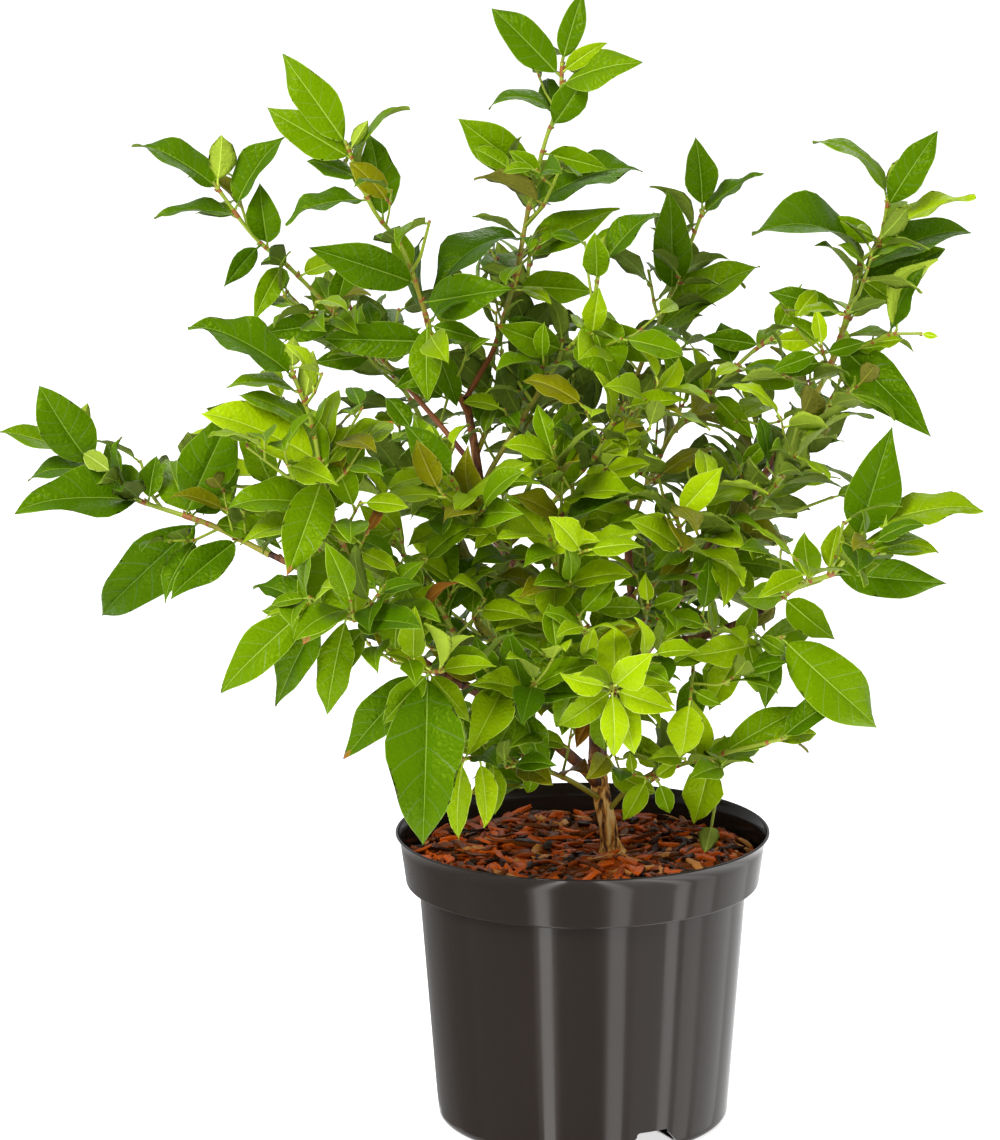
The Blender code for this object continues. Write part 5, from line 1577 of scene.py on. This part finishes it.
def chip_points(rng, length, width, thick):
    """Rings of six points along an angular sliver of bark."""
    shares = (rng.uniform(0.05, 0.5), rng.uniform(0.5, 0.9), 1.0, rng.uniform(0.75, 1.0),
              rng.uniform(0.45, 0.85), rng.uniform(0.05, 0.45))
    bow = rng.uniform(-0.12, 0.12)
    points = []
    for at, share in zip(CHIP_STATIONS, shares):
        half = width / 2 * share
        tall = thick / 2 * (0.45 + 0.55 * share)
        slide = rng.uniform(-0.1, 0.1) * width
        bowed = bow * length * (4 * (at - 0.5) ** 2 - 0.5)
        for y, z in CHIP_SECTION:
            points.append(((at - 0.5) * length + rng.uniform(-0.04, 0.04) * length,
                           half * y + slide + rng.uniform(-0.12, 0.12) * width,
                           tall * z + bowed + rng.uniform(-0.15, 0.15) * thick))
    return np.array(points)


def build_mulch():
    """Slivers of bark dropped one after another, each on what lies there."""
    rng = random.Random(77)
    heights = np.full((MULCH_CELLS, MULCH_CELLS), MULCH_FLOOR)
    limit = inner_radius(SOIL_TOP) - 1.2
    pile = Pile()
    for k in range(CHIPS):
        radius = limit * math.sqrt(rng.random())
        angle = rng.uniform(0, 2 * math.pi)
        centre = np.array((radius * math.cos(angle), radius * math.sin(angle)))
        length = rng.uniform(*CHIP_LENGTH) * (CHIP_SHORTER if rng.random() < SHORT_SHARE else 1)
        width, thick = rng.uniform(*CHIP_WIDTH), rng.uniform(*CHIP_THICK)
        heading = rng.uniform(0, math.pi)
        along = np.array((math.cos(heading), math.sin(heading)))
        ends = [centre + along * length / 2 * s for s in (-1, -0.5, 0, 0.5, 1)]
        trunk = min(np.linalg.norm(p - np.array(FOOT_AT)) for p in ends)
        if max(np.linalg.norm(p) for p in ends) > limit or trunk < FOOT_CLEAR + width / 2:
            continue
        cells = [tuple(int(v / MULCH_CELL + MULCH_CELLS / 2) for v in p) for p in ends]
        under = [heights[c] for c in cells]
        rest = 0.6 * max(under) + 0.4 * sum(under) / 5 + thick * 0.35
        if rest > MULCH_HIGHEST:
            continue
        slope = (under[-1] - under[0]) / length * 0.7 + rng.gauss(0, 0.1)
        slope = max(-CHIP_SLOPE, min(CHIP_SLOPE, slope))
        turn = (Matrix.Rotation(heading, 3, "Z") @ Matrix.Rotation(-slope, 3, "Y")
                @ Matrix.Rotation(rng.gauss(0, 0.35), 3, "X"))
        placed = chip_points(rng, length, width, thick) @ np.array(turn).T + np.array((*centre, rest))
        draw = rng.random()
        kind = next(i for i, share in enumerate(CHIP_SHARES) if draw <= share)
        pile.add(placed, ring_faces(len(CHIP_STATIONS), len(CHIP_SECTION)), kind, CHIP_CAPS, kind)
        for c in cells:
            heights[c] = max(heights[c], rest + thick * 0.3)
    materials = tinted_materials("chip_", CHIP_TINTS, *CHIP_SURFACE)
    for material in materials:
        shader_input(material, "Specular Tint").default_value = CHIP_SHEEN
    dress(pile.build("bark_mulch", materials, smooth=False), "compost")


# studio

def camera_axes():
    """Right, up and ahead of the camera."""
    ahead = Vector((-math.sin(YAW) * math.cos(PITCH), math.cos(YAW) * math.cos(PITCH), math.sin(PITCH)))
    right = ahead.cross(UP).normalized()
    up = right.cross(ahead)
    turned_right = right * math.cos(ROLL) + up * math.sin(ROLL)
    turned_up = up * math.cos(ROLL) - right * math.sin(ROLL)
    return turned_right, turned_up, ahead


def build_camera():
    right, up, ahead = camera_axes()
    data = bpy.data.cameras.new("camera")
    data.sensor_width = SENSOR
    data.lens = FOCAL_PX / PHOTO_H * SENSOR
    data.clip_start, data.clip_end = 0.05, 200
    camera = add_object("camera", data)
    turn = Matrix((right, up, -ahead)).transposed().to_4x4()
    camera.matrix_world = Matrix.Translation(CAMERA_AT) @ turn
    bpy.context.scene.camera = camera


def area_light(name, place, target, width, height, power):
    data = bpy.data.lights.new(name, "AREA")
    data.shape = "RECTANGLE"
    data.size, data.size_y = width, height
    data.energy = power
    light = add_object(name, data)
    light.location = place
    light.rotation_euler = (Vector(target) - Vector(place)).to_track_quat("-Z", "Y").to_euler()
    light.visible_camera = False


def floor_card(name, start, end, strength):
    """A bright wedge on the floor, laid where the pot's wall between two bearings throws its gloss."""
    corners = []
    for reach, order in ((0, (start, end)), (CARD_REACH, (end, start))):
        for degrees in order:
            angle = math.radians(degrees)
            foot = Vector((math.sin(angle), -math.cos(angle), 0)) * CARD_START
            thrown = Vector((math.sin(2 * angle), -math.cos(2 * angle), 0))
            corners.append(foot + thrown * reach + UP * CARD_UP)
    card = flat_object(name, corners, [(0, 1, 2, 3)])
    card.data.materials.append(glowing_material(name, (0, 0, 0, 1), 1.0, 0.0, strength))
    card.visible_camera = card.visible_diffuse = card.visible_shadow = card.visible_transmission = False


def build_studio():
    world = bpy.data.worlds.new("world")
    bpy.context.scene.world = world
    world.use_nodes = True
    background = world.node_tree.nodes["Background"]
    background.inputs["Color"].default_value = WORLD_COLOUR
    background.inputs["Strength"].default_value = WORLD_STRENGTH
    rim = [(FLOOR_RADIUS * math.cos(a), FLOOR_RADIUS * math.sin(a), 0) for a in turns(FLOOR_SIDES)]
    floor = flat_object("floor", rim, [tuple(range(FLOOR_SIDES))])
    floor.data.materials.append(glowing_material("floor_white", FLOOR_COLOUR, 0.8, 0.2, FLOOR_GLOW))
    for light in LIGHTS:
        area_light(*light)
    for card in CARDS:
        floor_card(*card)
    bpy.context.scene.view_settings.view_transform = "Standard"


# the plant

def limb_shapes():
    """Each limb's name and its solid."""
    for name, root, tip, points in LIMBS:
        path = smooth_path(points, 2)
        yield name, tube(path, limb_radii(name, path, root, tip, 1), LIMB_SIDES)


def stem_solid(plant):
    path = plant["path"]
    return tube(off_host(path, 0.3), tapered(path, STEM_R, STEM_TIP_R), STEM_SIDES)


def grow_rule():
    """Stems, twigs and leaves of the solids, by the same rule and seeds."""
    space = Space()
    for name, shape in limb_shapes():
        space.add(shape, name, "limb")
    plants = []
    for entry in SHOOTS:
        path = [Vector(p) for p in entry["stem"]]
        if entry["sprig"]:
            path[-1] += end_way(path) * BUD_REACH
        plants.append(dict(entry, path=path))
    for plant in plants:
        space.add(stem_solid(plant), plant["name"], "twig")
    for plant in plants:
        plant["twigs"] = grow_twigs(plant, space)
    stems = {plant["name"]: plant["path"] for plant in plants}
    for plant in plants:
        plant["leaves"] = grow_leaves(plant, space, stems)
    return plants


def add_finer(plants):
    """The further twigs and leaves, each on its shoot."""
    by_name = {plant["name"]: plant for plant in plants}
    for on, seed, stem, sprig in FINER:
        plant = by_name["foliage_" + on]
        path = plant["path"]
        if stem:
            path = [Vector(p) for p in stem]
            plant["twigs"].append(path)
        plant["leaves"] += sprig_leaves(sprig, seed, path)


def grow_all():
    """Every stem, twig and leaf: the solids' own first, then the finer growth between them."""
    plants = grow_rule()
    space, cover = Space(), Cover()

    def place(shape, name, kind):
        space.add(shape, name, kind)
        cover.fill(*shape)

    for name, shape in limb_shapes():
        place(shape, name, "limb")
    for plant in plants:
        for leaf in plant["leaves"]:
            cover.fill(*leaf_solid(leaf))
        plant["leaves"] = [leaf for leaf in plant["leaves"] if leaf["full"] or not cover.in_sky(leaf)]
        for leaf in plant["leaves"]:
            if not leaf["full"]:
                leaf["length"] *= RULE_SHARE
                leaf["width"] *= RULE_SHARE
    add_finer(plants)
    for plant in plants:
        name = plant["name"]
        place(stem_solid(plant), name, "twig")
        for twig in plant["twigs"]:
            place(tube(twig, tapered(twig, TWIG_R, TWIG_TIP_R), TWIG_SIDES), name, "twig")
        for leaf in plant["leaves"]:
            if leaf["full"]:
                ease_roll(leaf)
            place(leaf_solid(leaf), name, "leaf")
    cover.close_inside()
    for plant in plants:
        lines = plant["twigs"] if plant["sprig"] else (plant["path"], *plant["twigs"])
        plant["leaves"] += young_leaves(plant, lines, space, cover)
    for plant in plants:
        plant["twiglets"], leaves = finer_growth(plant, space, cover)
        plant["leaves"] += leaves
        deal_tints(plant)
    deal_accents(plants, cover)
    return plants


def add_shoot(plant, leaf_pile, stems, buds, forms, rng):
    """One shoot's stems, leaves and buds."""
    leaves = plant["leaves"]
    roots = [leaf["root"] for leaf in leaves]
    path = plant["path"] if plant["sprig"] else trimmed(plant["path"], leaves)
    paths = [(path, STEM_FORM)]
    paths += [(trimmed(twig, leaves), TWIG_FORM) for twig in plant["twigs"]]
    paths += [(twiglet, TWIGLET_FORM) for twiglet in plant["twiglets"]]
    lines = [add_stem(stems, path, form, roots) for path, form in paths]
    for leaf in leaves:
        found = []
        for line in lines:
            i = min(nearest_on(line, leaf["root"]), len(line) - 2)
            found.append((line[i], (line[i + 1] - line[i]).normalized()))
        spot, tangent = min(found, key=lambda f: (f[0] - leaf["root"]).length)
        shift = spot - leaf["root"]
        fine_leaf(leaf_pile, leaf, forms, rng, shift if shift.length < SHIFT_MOST else Vector())
        out = across(tangent, leaf["dir"])
        length = rng.uniform(*BUD_LENGTH)
        add_bud(buds, spot + out * 0.7 + tangent * 0.3, (tangent * 1.1 + out * 0.8).normalized(),
                length, length * BUD_WIDE, int(rng.random() < BUD_GREEN_SHARE))
    add_bud(buds, lines[0][-1], end_way(lines[0]), *END_BUD)


def build_plant():
    """Leaves in a few pieces by region, and all stems and all buds as a piece each."""
    forms = [(longest, LeafForm(pairs)) for longest, pairs in FORMS]
    rng = random.Random(4)
    leaves = {piece: Pile() for piece in PIECES}
    stems, buds = Pile(), Pile()
    for plant in grow_all():
        add_shoot(plant, leaves[plant["piece"]], stems, buds, forms, rng)
    materials = leaf_materials()
    for piece, pile in leaves.items():
        names = [entry["name"] for entry in SHOOTS if entry["piece"] == piece]
        dress(pile.build("leaves_" + piece, materials), "leaf", *names)
    dress(stems.build("twigs", tinted_materials("stem_", STEM_TINTS, *STEM_SURFACE)), "leaf")
    dress(buds.build("buds", tinted_materials("bud_", BUD_TINTS, *BUD_SURFACE)), "leaf")


def main():
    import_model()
    build_camera()
    build_studio()
    build_plant()
    build_bark()
    build_pot()
    build_soil()
    build_mulch()


main()
